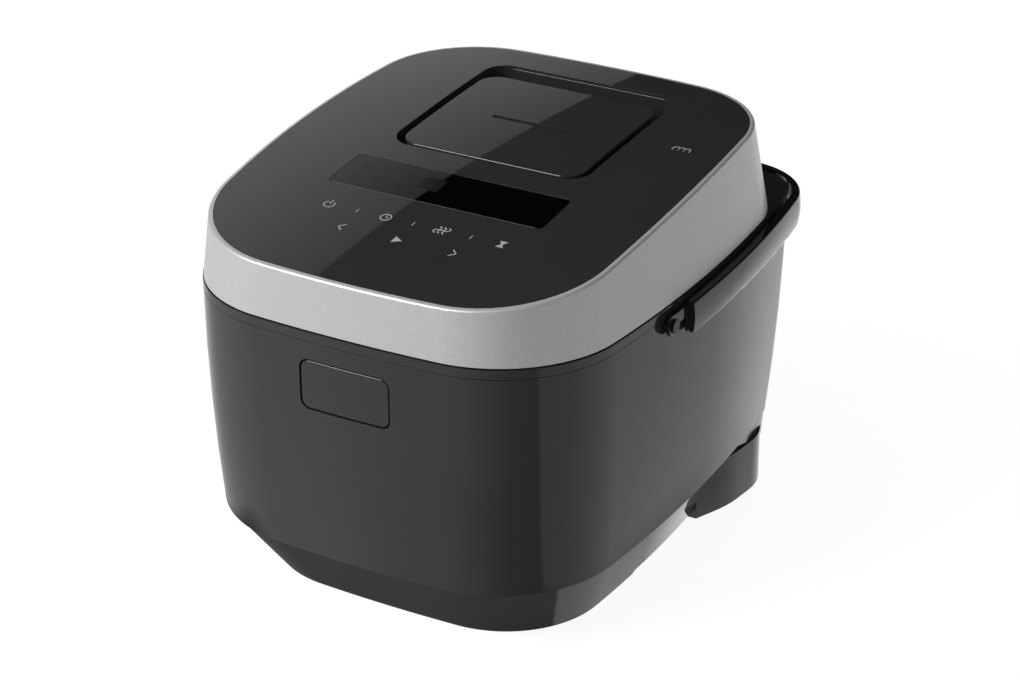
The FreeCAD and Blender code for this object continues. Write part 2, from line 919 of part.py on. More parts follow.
def hang_plate(label, near, far, half_width, thickness):
    """A flat plate that lies against the underside of the panel."""
    body = new_body(label)
    drop = size.panel_thickness + size.running_gap
    sketch = sketch_on(body, "YZ", -half_width)
    draw_outline(sketch, [(near, lid_top_at(near, drop + thickness)), (far, lid_top_at(far, drop + thickness)),
                          (far, lid_top_at(far, drop)), (near, lid_top_at(near, drop))])
    pad(body, sketch, half_width * 2)


def make_vent_tray():
    shell = block(vent_corners(size.vent_wall), size.vent_corner + size.vent_wall, vent_floor, lid_reach)
    shell = boolean("Common", shell, under_lid_top(size.panel_thickness))
    inside = block(vent_corners(0.0), size.vent_corner, cap_bottom, lid_reach)
    outlet = sketch_on(None, "XY", vent_floor)
    draw_circle(outlet, 0.0, size.outlet_y, size.outlet_radius)
    keep(less(shell, inside, extrude(outlet, size.vent_wall)), "vent_tray")

    seal = new_body("steam_seal")
    inner = size.spout_radius + size.slip
    flange = size.outlet_radius + size.vent_wall
    profile = sketch_on(seal, "XZ")
    draw_outline(profile, [(inner, pan_top), (flange, pan_top), (flange, vent_floor),
                           (size.outlet_radius, vent_floor), (size.outlet_radius, cap_bottom), (inner, cap_bottom)])
    revolve(seal, profile)
    place(seal, 0.0, size.outlet_y)


def cap_corners(inset):
    left, near, right, far = vent_corners(0.0)
    return (left + size.cap_side_gap + inset, near + size.cap_front_gap + inset,
            right - size.cap_side_gap - inset, far - size.cap_rear_gap - inset)


def make_steam_cap():
    wall_bottom = cap_bottom + size.cap_base_thickness
    corner = size.vent_corner - size.cap_front_gap / 2
    top = under_lid_top(size.cap_sink)
    sides = block(cap_corners(0.0), corner, wall_bottom, lid_reach)
    plate = less(boolean("Common", sides, top), under_lid_top(size.cap_sink + size.cap_thickness))
    inside = size.cap_overhang + size.cap_wall
    skirt = less(block(cap_corners(size.cap_overhang), corner, wall_bottom, lid_reach),
                 block(cap_corners(inside), corner - size.cap_wall, wall_bottom, lid_reach))
    skirt = boolean("Common", skirt, under_lid_top(size.cap_sink + size.cap_thickness / 2))
    half = size.slit_width / 2
    slit = block((-size.slit_half_length, size.slit_y - half, size.slit_half_length, size.slit_y + half),
                 half * SLOT_ROUND, wall_bottom, lid_reach)
    cap = less(fuse(plate, skirt), slit)
    keep(round_rim(cap, size.cap_lip, sides, top), "steam_cap")

    base = new_body("steam_cap_base")
    floor = sketch_on(base, "XY", cap_bottom)
    draw_box(floor, *cap_corners(size.cap_overhang), corner)
    pad(base, floor, size.cap_base_thickness)
    spout = sketch_on(base, "XY", cap_bottom)
    draw_circle(spout, 0.0, size.outlet_y, size.spout_radius)
    pad(base, spout, size.spout_length, back=True)
    bore = sketch_on(base, "XY", cap_bottom - size.spout_length)
    draw_circle(bore, 0.0, size.outlet_y, size.spout_radius - size.spout_wall)
    cut(base, bore, size.spout_length + size.cap_base_thickness)


def make_lid_underside():
    frame = new_body("lid_frame")
    fit = -size.ring_wall - size.running_gap
    loft(frame, "AdditiveLoft", [(frame_bottom, lid_outline_at(frame_bottom).grown(fit)),
                                 (frame_top, lid_outline_at(frame_top).grown(fit))])
    mouth = sketch_on(frame, "XY", frame_bottom)
    draw_circle(mouth, 0.0, 0.0, size.pan_radius)
    cut(frame, mouth, size.frame_thickness)
    pan = sketch_on(frame, "XZ")
    rim = size.pan_radius + size.pan_wall
    draw_outline(pan, [(0.0, pan_ceiling), (size.pan_radius, pan_ceiling), (size.pan_radius, frame_bottom),
                       (rim, frame_bottom), (rim, pan_top), (0.0, pan_top)])
    revolve(frame, pan)
    posts = sketch_on(frame, "XY", frame_top)
    for across, back in lid_screw_places:
        draw_circle(posts, across, back, size.post_radius)
    pad(frame, posts, size.lid_post_height)
    holes = sketch_on(frame, "XY", frame_bottom)
    for across, back in lid_screw_places:
        draw_circle(holes, across, back, size.screw_radius)
    cut(frame, holes, size.screw_length)
    outlet = sketch_on(frame, "XY", pan_ceiling)
    draw_circle(outlet, 0.0, size.outlet_y, size.outlet_radius)
    cut(frame, outlet, size.pan_wall)
    arms = []
    shoulder = size.hinge_y - size.arm_reach + size.arm_shoulder
    arm_top = hinge_z + size.knuckle_radius
    arm = sketch_on(frame, "YZ", size.arm_inner + size.arm_gap)
    draw_outline(arm, [(size.hinge_y - size.arm_reach, hinge_z - size.hinge_pin_radius),
                       (size.hinge_y, hinge_z - size.knuckle_radius), (size.hinge_y, arm_top),
                       (shoulder, arm_top), (shoulder, frame_top),
                       (size.hinge_y - size.arm_reach, frame_top)])
    arms.append(pad(frame, arm, size.arm_width - size.arm_gap * 2))
    knuckle = sketch_on(frame, "YZ", size.arm_inner + size.arm_gap)
    draw_circle(knuckle, size.hinge_y, hinge_z, size.knuckle_radius)
    arms.append(pad(frame, knuckle, size.arm_width - size.arm_gap * 2))
    mirror(frame, arms)
    bore = sketch_on(frame, "YZ", -size.hinge_pin_half_length)
    draw_circle(bore, size.hinge_y, hinge_z, size.hinge_pin_radius + size.running_gap)
    cut(frame, bore, size.hinge_pin_half_length * 2)

    plate = new_body("inner_lid")
    low = frame_bottom + size.inner_lid_lift
    high = low + size.inner_lid_dome
    thick = size.inner_lid_thickness
    edge = size.inner_lid_radius
    dish = sketch_on(plate, "XZ")
    crown = size.inner_lid_crown
    brim = edge - size.inner_lid_brim
    draw_outline(dish, [(0.0, high), (crown, high), (brim, low), (edge, low), (edge, low + thick),
                        (brim, low + thick), (crown, high + thick), (0.0, high + thick)])
    revolve(plate, dish)
    hole = sketch_on(plate, "XY", low)
    draw_circle(hole, 0.0, size.inner_lid_hole_circle, size.inner_lid_hole)
    polar(plate, [cut(plate, hole, size.inner_lid_dome * 2)], size.inner_lid_hole_count)

    gasket = new_body("lid_gasket")
    lip = flange_top + size.gasket_gap
    throat = size.pan_radius
    tip = size.gasket_lip_radius
    ring = sketch_on(gasket, "XZ")
    draw_outline(ring, [(edge, frame_bottom + size.frame_lift), (throat, lip + size.gasket_gap * 2),
                        (tip - size.frame_thickness, lip), (tip, lip), (tip, frame_bottom),
                        (throat, frame_bottom), (throat, low + size.gasket_height),
                        (edge, low + size.gasket_height)])
    revolve(gasket, ring)

    heater = new_body("lid_heater")
    disc = sketch_on(heater, "XY", pan_ceiling - size.heater_thickness)
    draw_circle(disc, 0.0, 0.0, size.heater_radius)
    draw_circle(disc, 0.0, size.outlet_y, size.outlet_radius + size.vent_wall)
    pad(heater, disc, size.heater_thickness)

    make_screws("lid_screws", lid_screw_places, frame_bottom)


def make_screws(label, places, level):
    """Screws driven upwards, with their heads below the given level."""
    body = new_body(label, several_solids=True)
    heads = sketch_on(body, "XY", level - size.screw_head)
    shanks = sketch_on(body, "XY", level)
    for across, back in places:
        draw_circle(heads, across, back, size.screw_head_radius)
        draw_circle(shanks, across, back, size.screw_radius)
    pad(body, heads, size.screw_head)
    pad(body, shanks, size.screw_length)


def make_hinge():
    pin = new_body("hinge_pin")
    rod = sketch_on(pin, "YZ", -size.hinge_pin_half_length)
    draw_circle(rod, size.hinge_y, hinge_z, size.hinge_pin_radius)
    pad(pin, rod, size.hinge_pin_half_length * 2)

    make_spring("hinge_spring", "YZ", [(size.hinge_y, hinge_z)], hinge_spring_radius, size.hinge_spring_wire,
                -size.hinge_spring_half_length, size.hinge_spring_half_length * 2)


def make_spring(label, plane, places, radius, wire, start, length):
    """Enclosed coil springs, each as the plain sleeve that its turns fill, from a plane onwards."""
    body = new_body(label, several_solids=len(places) > 1)
    sleeve = sketch_on(body, plane, start)
    for across, up in places:
        draw_circle(sleeve, across, up, radius + wire / 2)
        draw_circle(sleeve, across, up, radius - wire / 2)
    pad(body, sleeve, length)


# Front: button, catch, latch lever and the bracket that carries it


def button_corners(inset):
    return (inset - size.button_half_width, button_bottom + inset,
            size.button_half_width - inset, button_bottom + size.button_height - inset)


def front_block(inset, length):
    """A rounded block that runs from the back of the button towards the front."""
    sketch = sketch_on(None, "XZ", button_back)
    draw_box(sketch, *button_corners(inset), size.button_corner - inset)
    return extrude(sketch, length)


def fuse(base, *others):
    for other in others:
        base = boolean("Fuse", base, other)
    return base


def make_button():
    inner = size.button_gap + size.button_wall
    reach = size.button_depth + size.wall
    face = loft(None, "Loft", body_levels(-size.button_sink))
    back_of_face = loft(None, "Loft", body_levels(-size.button_sink - size.button_wall))
    cap = boolean("Common", face, front_block(size.button_gap, reach))
    hollow = boolean("Common", back_of_face, front_block(inner, reach))
    flange = less(front_block(-size.button_flange, size.button_wall), front_block(inner, size.button_wall))
    push = sketch_on(None, "XZ", latch_front - size.button_sink * 2)
    middle = latch_pivot_height + size.push_arm
    half = size.button_wall / 2
    draw_box(push, -size.latch_thickness, middle - half, size.latch_thickness, middle + half)
    wall_middle = size.body_front - size.button_sink - size.button_wall / 2
    rib = extrude(push, wall_middle + latch_front - size.button_sink * 2)
    keep(fuse(less(cap, hollow), flange, rib), "lid_button")


def make_latch():
    catch = new_body("lid_catch")
    strip_rear = latch_front - size.catch_thickness - size.catch_hook
    strip_front = strip_rear - size.catch_thickness
    hook_bottom = frame_bottom - size.catch_depth
    hook_top = hook_bottom + size.catch_thickness
    profile = sketch_on(catch, "YZ", -size.catch_width / 2)
    draw_outline(profile, [(strip_front, hook_bottom), (strip_rear + size.catch_hook, hook_bottom),
                           (strip_rear + size.catch_hook, hook_top), (strip_rear, hook_top),
                           (strip_rear, frame_bottom), (strip_front, frame_bottom)])
    pad(catch, profile, size.catch_width)

    lever = new_body("latch_lever")
    nose_bottom = hook_top + size.slip
    nose_top = collar_bottom - size.lid_gap
    nose_tip = strip_rear + size.catch_hook / 2
    boss = size.latch_pin_radius + size.latch_boss_wall
    arm = sketch_on(lever, "YZ", -size.latch_width / 2)
    draw_outline(arm, [(latch_front, latch_pivot_height - boss),
                       (latch_front + size.latch_thickness, latch_pivot_height - boss),
                       (latch_front + size.latch_thickness, nose_top), (nose_tip, nose_top),
                       (nose_tip, nose_bottom), (latch_front, nose_bottom)])
    pad(lever, arm, size.latch_width)
    round_boss = sketch_on(lever, "YZ", -size.latch_width / 2)
    draw_circle(round_boss, size.latch_y, latch_pivot_height, boss)
    pad(lever, round_boss, size.latch_width)
    bore = sketch_on(lever, "YZ", -size.latch_width / 2)
    draw_circle(bore, size.latch_y, latch_pivot_height, size.latch_pin_radius + size.running_gap)
    cut(lever, bore, size.latch_width)

    cheek = size.catch_width / 2 + size.slip
    outer = cheek + size.bracket_thickness
    wing = outer + size.bracket_wing
    near = latch_front - size.catch_thickness - size.slip
    far = size.latch_y + boss * 2
    low = latch_pivot_height - boss * 2
    bracket = new_body("latch_bracket")
    side = sketch_on(bracket, "YZ", cheek)
    draw_box(side, near, low, far, collar_bottom, size.bracket_thickness)
    cheeks = pad(bracket, side, size.bracket_thickness)
    seat = sketch_on(bracket, "XZ", near + size.bracket_thickness)
    draw_box(seat, cheek, spring_height - size.spring_seat,
             wing, spring_height + size.spring_seat)
    seats = pad(bracket, seat, size.bracket_thickness)
    floor = sketch_on(bracket, "XY", low)
    draw_box(floor, -outer, near + size.bracket_thickness, outer, far - size.bracket_thickness)
    pad(bracket, floor, size.bracket_thickness)
    mirror(bracket, [cheeks, seats])
    hole = sketch_on(bracket, "YZ", -outer)
    draw_circle(hole, size.latch_y, latch_pivot_height, size.latch_pin_radius)
    cut(bracket, hole, outer * 2)

    pin = new_body("latch_pin")
    rod = sketch_on(pin, "YZ", -outer)
    draw_circle(rod, size.latch_y, latch_pivot_height, size.latch_pin_radius)
    pad(pin, rod, outer * 2)

    middle = (cheek + wing) / 2 + size.bracket_thickness / 2
    room = near - button_back + size.button_depth - size.button_wall - size.button_sink
    make_spring("button_springs", "XZ", [(middle, spring_height), (-middle, spring_height)],
                size.button_spring_radius, size.button_spring_wire, near, room - size.slip * 2)


# Body: outer shell, collar with its deck, and the handle


def make_shell():
    shell = new_body("body_shell")
    loft(shell, "AdditiveLoft", body_levels(0.0))
    loft(shell, "SubtractiveLoft", body_levels(-size.wall))
    window = sketch_on(shell, "XZ", -size.body_front - size.wall)
    draw_box(window, *button_corners(0.0), size.button_corner)
    cut(shell, window, size.wall_cut, back=True)
    inside = size.body_half_width - size.wall
    boss = sketch_on(shell, "YZ", inside - size.boss_depth)
    draw_circle(boss, size.pivot_y, pivot_height, size.boss_radius)
    solid = pad(shell, boss, size.boss_depth + size.wall / 2)
    hole = sketch_on(shell, "YZ", inside - size.boss_depth)
    draw_circle(hole, size.pivot_y, pivot_height, size.pivot_radius)
    drilled = cut(shell, hole, size.boss_depth + size.wall * 2)
    mirror(shell, [solid, drilled])
    behind = size.body_rear + size.wall
    depth = size.body_rear_taper + size.wall_cut
    slot = sketch_on(shell, "XZ", behind)
    draw_box(slot, size.exhaust_x, size.exhaust_bottom, size.exhaust_x + size.exhaust_slot_width,
             size.exhaust_bottom + size.exhaust_slot_height, size.exhaust_slot_width / 2 * SLOT_ROUND)
    row(shell, [cut(shell, slot, depth)], size.exhaust_slot_pitch, size.exhaust_slot_count)
    socket = sketch_on(shell, "XZ", behind)
    draw_box(socket, *inlet_corners(0.0))
    cut(shell, socket, depth)


def make_collar():
    collar = new_body("upper_collar")
    rim = sketch_on(collar, "XY", collar_bottom)
    draw_oblong(rim, body_top_outline)
    pad(collar, rim, size.collar_height)
    fit = -size.wall - size.slip
    spigot = sketch_on(collar, "XY", collar_bottom)
    draw_oblong(spigot, body_top_outline.grown(fit))
    draw_oblong(spigot, body_top_outline.grown(fit - size.spigot_wall))
    pad(collar, spigot, size.spigot_depth, back=True)
    shoulder = sketch_on(collar, "XY", shell_top)
    draw_oblong(shoulder, body_top_outline.grown(-size.wall / 2))
    draw_oblong(shoulder, body_top_outline.grown(fit))
    pad(collar, shoulder, size.seam)
    notch = sketch_on(collar, "XY", collar_bottom - size.spigot_depth)
    notch_half = size.boss_radius + size.slip
    draw_box(notch, -size.body_half_width, size.pivot_y - notch_half, size.body_half_width, size.pivot_y + notch_half)
    cut(collar, notch, size.spigot_depth)
    near = size.hinge_y - size.arm_reach - size.arm_gap * 2
    far = size.hinge_y + size.knuckle_radius + size.arm_rear_gap
    low = collar_bottom - size.hinge_block_depth
    block_half = size.hinge_block_half_width
    lugs = sketch_on(collar, "XY", low)
    draw_box(lugs, -block_half, size.hinge_y - size.knuckle_radius * 2,
             block_half, size.hinge_y + size.knuckle_radius)
    pad(collar, lugs, size.hinge_block_depth)
    well = sketch_on(collar, "XY", deck_top)
    draw_oblong(well, lid_foot_outline.grown(-size.ring_wall))
    cut(collar, well, size.collar_height)
    mouth = sketch_on(collar, "XY", collar_bottom)
    draw_circle(mouth, 0.0, 0.0, size.pot_radius + size.deck_clearance)
    cut(collar, mouth, size.deck_thickness)
    slots = sketch_on(collar, "XY", low)
    draw_box(slots, size.arm_inner, near, size.arm_inner + size.arm_width, far)
    draw_box(slots, -size.arm_inner - size.arm_width, near, -size.arm_inner, far)
    cut(collar, slots, collar_top - low)
    bore = sketch_on(collar, "YZ", -block_half)
    draw_circle(bore, size.hinge_y, hinge_z, size.hinge_pin_radius)
    cut(collar, bore, block_half * 2)
    spring_half = size.hinge_spring_half_length + size.hinge_spring_wire
    spring_reach = hinge_spring_radius + size.hinge_spring_wire / 2 + size.slip
    housing = sketch_on(collar, "XY", low)
    draw_box(housing, -spring_half, size.hinge_y - spring_reach, spring_half, size.hinge_y + spring_reach)
    cut(collar, housing, hinge_z + spring_reach - low)
    gate_half = size.catch_width / 2 + size.catch_thickness
    gate = sketch_on(collar, "XY", collar_bottom)
    draw_box(gate, -gate_half, latch_front - size.gate_reach - size.catch_hook, gate_half, latch_front)
    cut(collar, gate, size.deck_thickness)


def make_handle():
    handle_rear = size.body_rear + size.handle_rear_reach
    inner = Outline(size.body_half_width + size.handle_gap, size.body_front + size.handle_gap,
                    handle_rear - size.handle_depth, size.side_bow, size.front_corner, size.handle_inner_corner)
    outer = Outline(handle_half_width, size.body_front + size.handle_reach, handle_rear,
                    size.side_bow, size.handle_corner, size.handle_corner)
    handle_top = handle_bottom + size.handle_height
    bail = new_body("carry_handle")
    slab = sketch_on(bail, "XY", handle_bottom)
    draw_oblong(slab, outer)
    pad(bail, slab, size.handle_height)
    round_edges(bail, size.handle_round, lambda edge: edge.BoundBox.ZLength < TOUCH)
    loop = sketch_on(bail, "XY", handle_bottom)
    draw_oblong(loop, inner)
    cut(bail, loop, size.handle_height)
    channel = sketch_on(bail, "XY", handle_bottom)
    draw_oblong(channel, outer.grown(-size.handle_wall))
    draw_oblong(channel, inner.grown(size.handle_wall))
    cut(bail, channel, size.handle_height - size.handle_web)
    front = sketch_on(bail, "YZ", -handle_half_width - size.wall)
    beyond = -size.body_front - size.handle_reach - size.wall
    draw_outline(front, [(beyond, handle_bottom - size.wall), (beyond, handle_top + size.wall),
                         (size.handle_end, handle_top + size.wall),
                         (size.handle_end, handle_bottom, size.handle_end_round),
                         (size.handle_end + size.handle_height, handle_bottom),
                         (size.handle_end + size.handle_height, handle_bottom - size.wall)])
    cut(bail, front, handle_half_width * 2 + size.wall * 2)
    ear_inner = size.body_half_width + size.handle_gap
    link = sketch_on(bail, "YZ", ear_inner)
    draw_box(link, size.pivot_y, pivot_height,
             size.handle_end + size.handle_wall, handle_top - size.handle_round)
    strap = pad(bail, link, size.ear_thickness)
    ear = sketch_on(bail, "YZ", ear_inner)
    draw_circle(ear, size.pivot_y, pivot_height, size.ear_radius)
    eye = pad(bail, ear, size.ear_thickness)
    bore = sketch_on(bail, "YZ", ear_inner)
    draw_circle(bore, size.pivot_y, pivot_height, size.pivot_radius + size.running_gap)
    drilled = cut(bail, bore, size.ear_thickness)
    stop = sketch_on(bail, "YZ", ear_inner)
    draw_box(stop, size.handle_end, handle_bottom + size.handle_end_round,
             size.handle_end + size.handle_wall, handle_top - size.handle_web / 2)
    closed = pad(bail, stop, handle_half_width - size.handle_wall / 2 - ear_inner)
    mirror(bail, [strap, eye, drilled, closed])

    pins = new_body("handle_pivots", several_solids=True)
    inside = size.body_half_width - size.wall - size.boss_depth
    shank = sketch_on(pins, "YZ", inside)
    draw_circle(shank, size.pivot_y, pivot_height, size.pivot_radius)
    head_at = ear_inner + size.ear_thickness + size.slip
    rod = pad(pins, shank, head_at - inside)
    cap = sketch_on(pins, "YZ", head_at)
    draw_circle(cap, size.pivot_y, pivot_height, size.pivot_head_radius)
    head = pad(pins, cap, size.pivot_head)
    mirror(pins, [rod, head])


# Base: skirt, tray, rear base and feet


def skirt_end(by):
    """The curved rear end of the skirt, from its top to the floor, moved back."""
    middle = size.base_height / 2
    rise = size.skirt_end_round / 2
    return [(size.skirt_end_high + by, size.base_height + size.wall),
            (size.skirt_end_high + by, middle + rise, size.skirt_end_round),
            (size.skirt_end_low + by, middle - rise, size.skirt_end_round),
            (size.skirt_end_low + by, -size.wall)]


def make_base():
    skirt = new_body("plinth_skirt")
    loft(skirt, "AdditiveLoft", [(size.floor_gap, plinth_foot_outline), (plinth_top, plinth_head_outline)])
    loft(skirt, "SubtractiveLoft", [(size.floor_gap, plinth_foot_outline.grown(-size.skirt_wall)),
                                    (plinth_top, plinth_head_outline.grown(-size.skirt_wall))])
    side = -size.body_half_width
    beyond = size.body_rear + size.wall
    end = sketch_on(skirt, "YZ", side)
    draw_outline(end, skirt_end(0.0) + [(beyond, -size.wall), (beyond, size.base_height + size.wall)])
    cut(skirt, end, size.body_half_width * 2)
    arch = sketch_on(skirt, "YZ", side)
    draw_outline(arch, [(size.skirt_arch_front - size.skirt_arch_height, -size.wall), (beyond, -size.wall),
                        (beyond, size.skirt_arch_height),
                        (size.skirt_arch_front + size.skirt_arch_height, size.skirt_arch_height)])
    cut(skirt, arch, size.body_half_width * 2)

    tray = new_body("base_tray")
    tray_outline = plinth_outline_at(size.tray_bottom).grown(-size.skirt_wall - size.running_gap)
    dish = sketch_on(tray, "XY", size.tray_bottom)
    draw_oblong(dish, tray_outline)
    pad(tray, dish, size.tray_height)
    hollow = sketch_on(tray, "XY", tray_floor)
    draw_oblong(hollow, tray_outline.grown(-size.tray_wall))
    cut(tray, hollow, size.tray_height)
    posts = sketch_on(tray, "XY", tray_floor)
    holes = sketch_on(tray, "XY", size.tray_bottom)
    for across, back in board_screw_places:
        draw_circle(posts, across, back, size.post_radius)
        draw_circle(holes, across, back, size.screw_radius)
    pad(tray, posts, size.power_board_lift)
    cut(tray, holes, size.screw_length)
    pitch = size.grille_slot_width * 2
    left = size.fan_x - pitch * (size.grille_slot_count - 1) / 2 - size.grille_slot_width / 2
    slot = sketch_on(tray, "XY", size.tray_bottom)
    draw_box(slot, left, size.fan_y - size.grille_slot_length, left + size.grille_slot_width,
             size.fan_y + size.grille_slot_length, size.grille_slot_width / 2 * SLOT_ROUND)
    row(tray, [cut(tray, slot, size.tray_wall)], pitch, size.grille_slot_count)

    rear = new_body("rear_base")
    ahead = -size.body_front - size.wall
    rise = size.base_height + size.wall
    loft(rear, "AdditiveLoft", [(size.band_bottom, body_foot_outline.grown(-size.plinth_inset * 2)),
                                (plinth_top, plinth_head_outline)])
    wedge = sketch_on(rear, "YZ", side)
    draw_outline(wedge, [(ahead, size.floor_gap), (size.band_rear, size.floor_gap),
                         (size.band_rear, size.band_bottom), (size.band_front, plinth_top),
                         (size.band_front, rise), (ahead, rise)])
    cut(rear, wedge, size.body_half_width * 2)
    front_end = (size.leg_front_half_width, size.leg_front)
    hip = (size.leg_hip_half_width, size.leg_hip)
    rear_end = (size.leg_rear_half_width, size.leg_rear)
    hip_round = limited_round(size.leg_hip_round, front_end, hip, rear_end)
    legs = sketch_on(rear, "XY", size.floor_gap)
    draw_outline(legs, [(-size.leg_front_half_width, size.leg_front), front_end, (*hip, hip_round),
                        (*rear_end, size.leg_corner), (-size.leg_rear_half_width, size.leg_rear, size.leg_corner),
                        (-size.leg_hip_half_width, size.leg_hip, hip_round)])
    pad(rear, legs, size.leg_height)
    loft(rear, "AdditiveLoft", [(size.floor_gap, plinth_foot_outline.grown(-size.leg_web_inset)),
                                (plinth_top, plinth_head_outline.grown(-size.leg_web_inset))])
    loft(rear, "SubtractiveLoft", [(size.floor_gap, plinth_foot_outline.grown(-size.skirt_wall)),
                                   (plinth_top, plinth_head_outline.grown(-size.skirt_wall))])
    clear = sketch_on(rear, "YZ", side)
    draw_outline(clear, skirt_end(size.slip) + [(ahead, -size.wall), (ahead, rise)])
    cut(rear, clear, size.body_half_width * 2)
    seats = sketch_on(rear, "XY", size.floor_gap)
    for across in (1, -1):
        draw_circle(seats, across * size.rear_foot_x, size.rear_foot_y, size.foot_radius)
    cut(rear, seats, size.foot_recess)

    feet = new_body("rubber_feet", several_solids=True)
    front_pair = sketch_on(feet, "XY")
    rear_pair = sketch_on(feet, "XY")
    for across in (1, -1):
        draw_circle(front_pair, across * size.front_foot_x, size.front_foot_y, size.foot_radius)
        draw_circle(rear_pair, across * size.rear_foot_x, size.rear_foot_y, size.foot_radius)
    pad(feet, front_pair, size.tray_bottom)
    pad(feet, rear_pair, size.floor_gap + size.foot_recess)

    make_screws("base_screws", board_screw_places, size.tray_bottom)


# Pot, well and induction heating


def make_pot():
    pot = new_body("inner_pot")
    radius = size.pot_radius
    inner = radius - size.pot_wall
    floor = size.pot_bottom + size.pot_base
    rim = radius + size.pot_flange
    profile = sketch_on(pot, "XZ")
    draw_outline(profile, [(0.0, size.pot_bottom), (radius, size.pot_bottom, size.pot_corner), (radius, deck_top),
                           (rim, deck_top), (rim, flange_top), (inner, flange_top),
                           (inner, floor, size.pot_corner - size.pot_wall), (0.0, floor)])
    revolve(pot, profile)

    well = new_body("pot_well")
    outer = well_radius + size.well_wall
    inner_floor = well_bottom + size.well_wall
    corner = (size.pot_corner + size.pot_clearance) * CHAMFER_FOR_ROUND
    outer_corner = corner + size.well_wall * CHAMFER_FOR_ROUND
    flange = outer + size.well_flange
    shelf = collar_bottom - size.well_wall
    section = sketch_on(well, "XZ")
    draw_outline(section, [(sensor_hole, well_bottom), (outer - outer_corner, well_bottom),
                           (outer, well_bottom + outer_corner), (outer, shelf), (flange, shelf),
                           (flange, collar_bottom), (well_radius, collar_bottom),
                           (well_radius, inner_floor + corner), (well_radius - corner, inner_floor),
                           (sensor_hole, inner_floor)])
    revolve(well, section)

    heater = new_body("warm_heater")
    middle = (shelf + well_bottom) / 2
    band = sketch_on(heater, "XZ")
    draw_box(band, outer, middle, outer + size.warm_heater_thickness, middle + size.warm_heater_height)
    revolve(heater, band)

    coil = new_body("induction_coil", several_solids=True)
    windings = sketch_on(coil, "XZ")
    draw_box(windings, size.coil_inner, coil_bottom, size.coil_gap_inner, well_bottom)
    draw_box(windings, size.coil_gap_outer, coil_bottom, size.coil_outer, well_bottom)
    revolve(coil, windings)

    carrier = new_body("coil_carrier")
    bore = size.sensor_stem_radius + size.sensor_sleeve_wall + size.running_gap
    disc = sketch_on(carrier, "XZ")
    draw_outline(disc, [(bore, carrier_bottom), (size.carrier_radius, carrier_bottom),
                        (size.carrier_radius, coil_bottom), (bore + size.carrier_hub, coil_bottom),
                        (bore + size.carrier_hub, well_bottom), (sensor_hole, well_bottom),
                        (sensor_hole, sensor_seat), (bore, sensor_seat)])
    revolve(carrier, disc)

    ferrites = new_body("ferrite_bars", several_solids=True)
    bar = sketch_on(ferrites, "XY", carrier_bottom - size.ferrite_height)
    start = bore + size.carrier_hub * 2
    draw_box(bar, start, -size.ferrite_width / 2, start + size.ferrite_length, size.ferrite_width / 2)
    polar(ferrites, [pad(ferrites, bar, size.ferrite_height)], size.ferrite_count)


def make_sensor():
    stem = size.sensor_stem_radius
    stem_low = sensor_cap_low - size.sensor_stem_length
    sensor = new_body("pot_sensor")
    profile = sketch_on(sensor, "XZ")
    draw_outline(profile, [(0.0, sensor_cap_low), (stem - size.sensor_wall, sensor_cap_low),
                           (stem - size.sensor_wall, stem_low), (stem, stem_low),
                           (stem, sensor_cap_low), (size.sensor_radius, sensor_cap_low),
                           (size.sensor_radius, size.pot_bottom), (0.0, size.pot_bottom)])
    revolve(sensor, profile)

    holder = new_body("sensor_holder")
    bore = stem + size.running_gap
    outer = stem + size.sensor_sleeve_wall
    floor = stem_low - size.sensor_travel - size.slip
    bottom = floor - size.well_wall
    sleeve = sketch_on(holder, "XZ")
    draw_outline(sleeve, [(0.0, bottom), (outer + size.carrier_hub, bottom),
                          (outer + size.carrier_hub, carrier_bottom), (outer, carrier_bottom), (outer, sensor_seat),
                          (bore, sensor_seat), (bore, floor), (0.0, floor)])
    revolve(holder, sleeve)

    make_spring("sensor_spring", "XY", [(0.0, 0.0)], size.sensor_spring_radius, size.sensor_spring_wire,
                floor, sensor_cap_low - floor)


# Electronics, cooling fan and mains inlet


def inlet_corners(by):
    return (size.inlet_x - size.inlet_half_width - by, size.inlet_bottom - by,
            size.inlet_x + size.inlet_half_width + by, size.inlet_bottom + size.inlet_height + by)


def make_electronics():
    board = new_body("power_board")
    sheet = sketch_on(board, "XY", board_level)
    draw_box(sheet, size.power_board_x, size.power_board_y, size.power_board_x + size.power_board_width,
             size.power_board_y + size.power_board_depth)
    pad(board, sheet, size.board_thickness)
    board_top = board_level + size.board_thickness

    sink = new_body("heat_sink")
    left = size.power_board_x + board_inset * 2
    near = size.power_board_y + board_inset * 2
    base = sketch_on(sink, "XY", board_top)
    draw_box(base, left, near, left + size.heat_sink_width, near + size.heat_sink_depth)
    pad(sink, base, size.heat_sink_base)
    fin = sketch_on(sink, "XY", board_top + size.heat_sink_base)
    draw_box(fin, left, near, left + size.fin_thickness, near + size.heat_sink_depth)
    upright = pad(sink, fin, size.heat_sink_height - size.heat_sink_base)
    row(sink, [upright], (size.heat_sink_width - size.fin_thickness) / (size.fin_count - 1), size.fin_count)

    cans = new_body("filter_capacitors", several_solids=True)
    circles = sketch_on(cans, "XY", board_top)
    across = left + size.heat_sink_width + size.capacitor_radius * 2
    for step in (0, 1):
        along = near + size.capacitor_radius + size.capacitor_pitch * step
        draw_circle(circles, across, along, size.capacitor_radius)
    pad(cans, circles, size.capacitor_height)


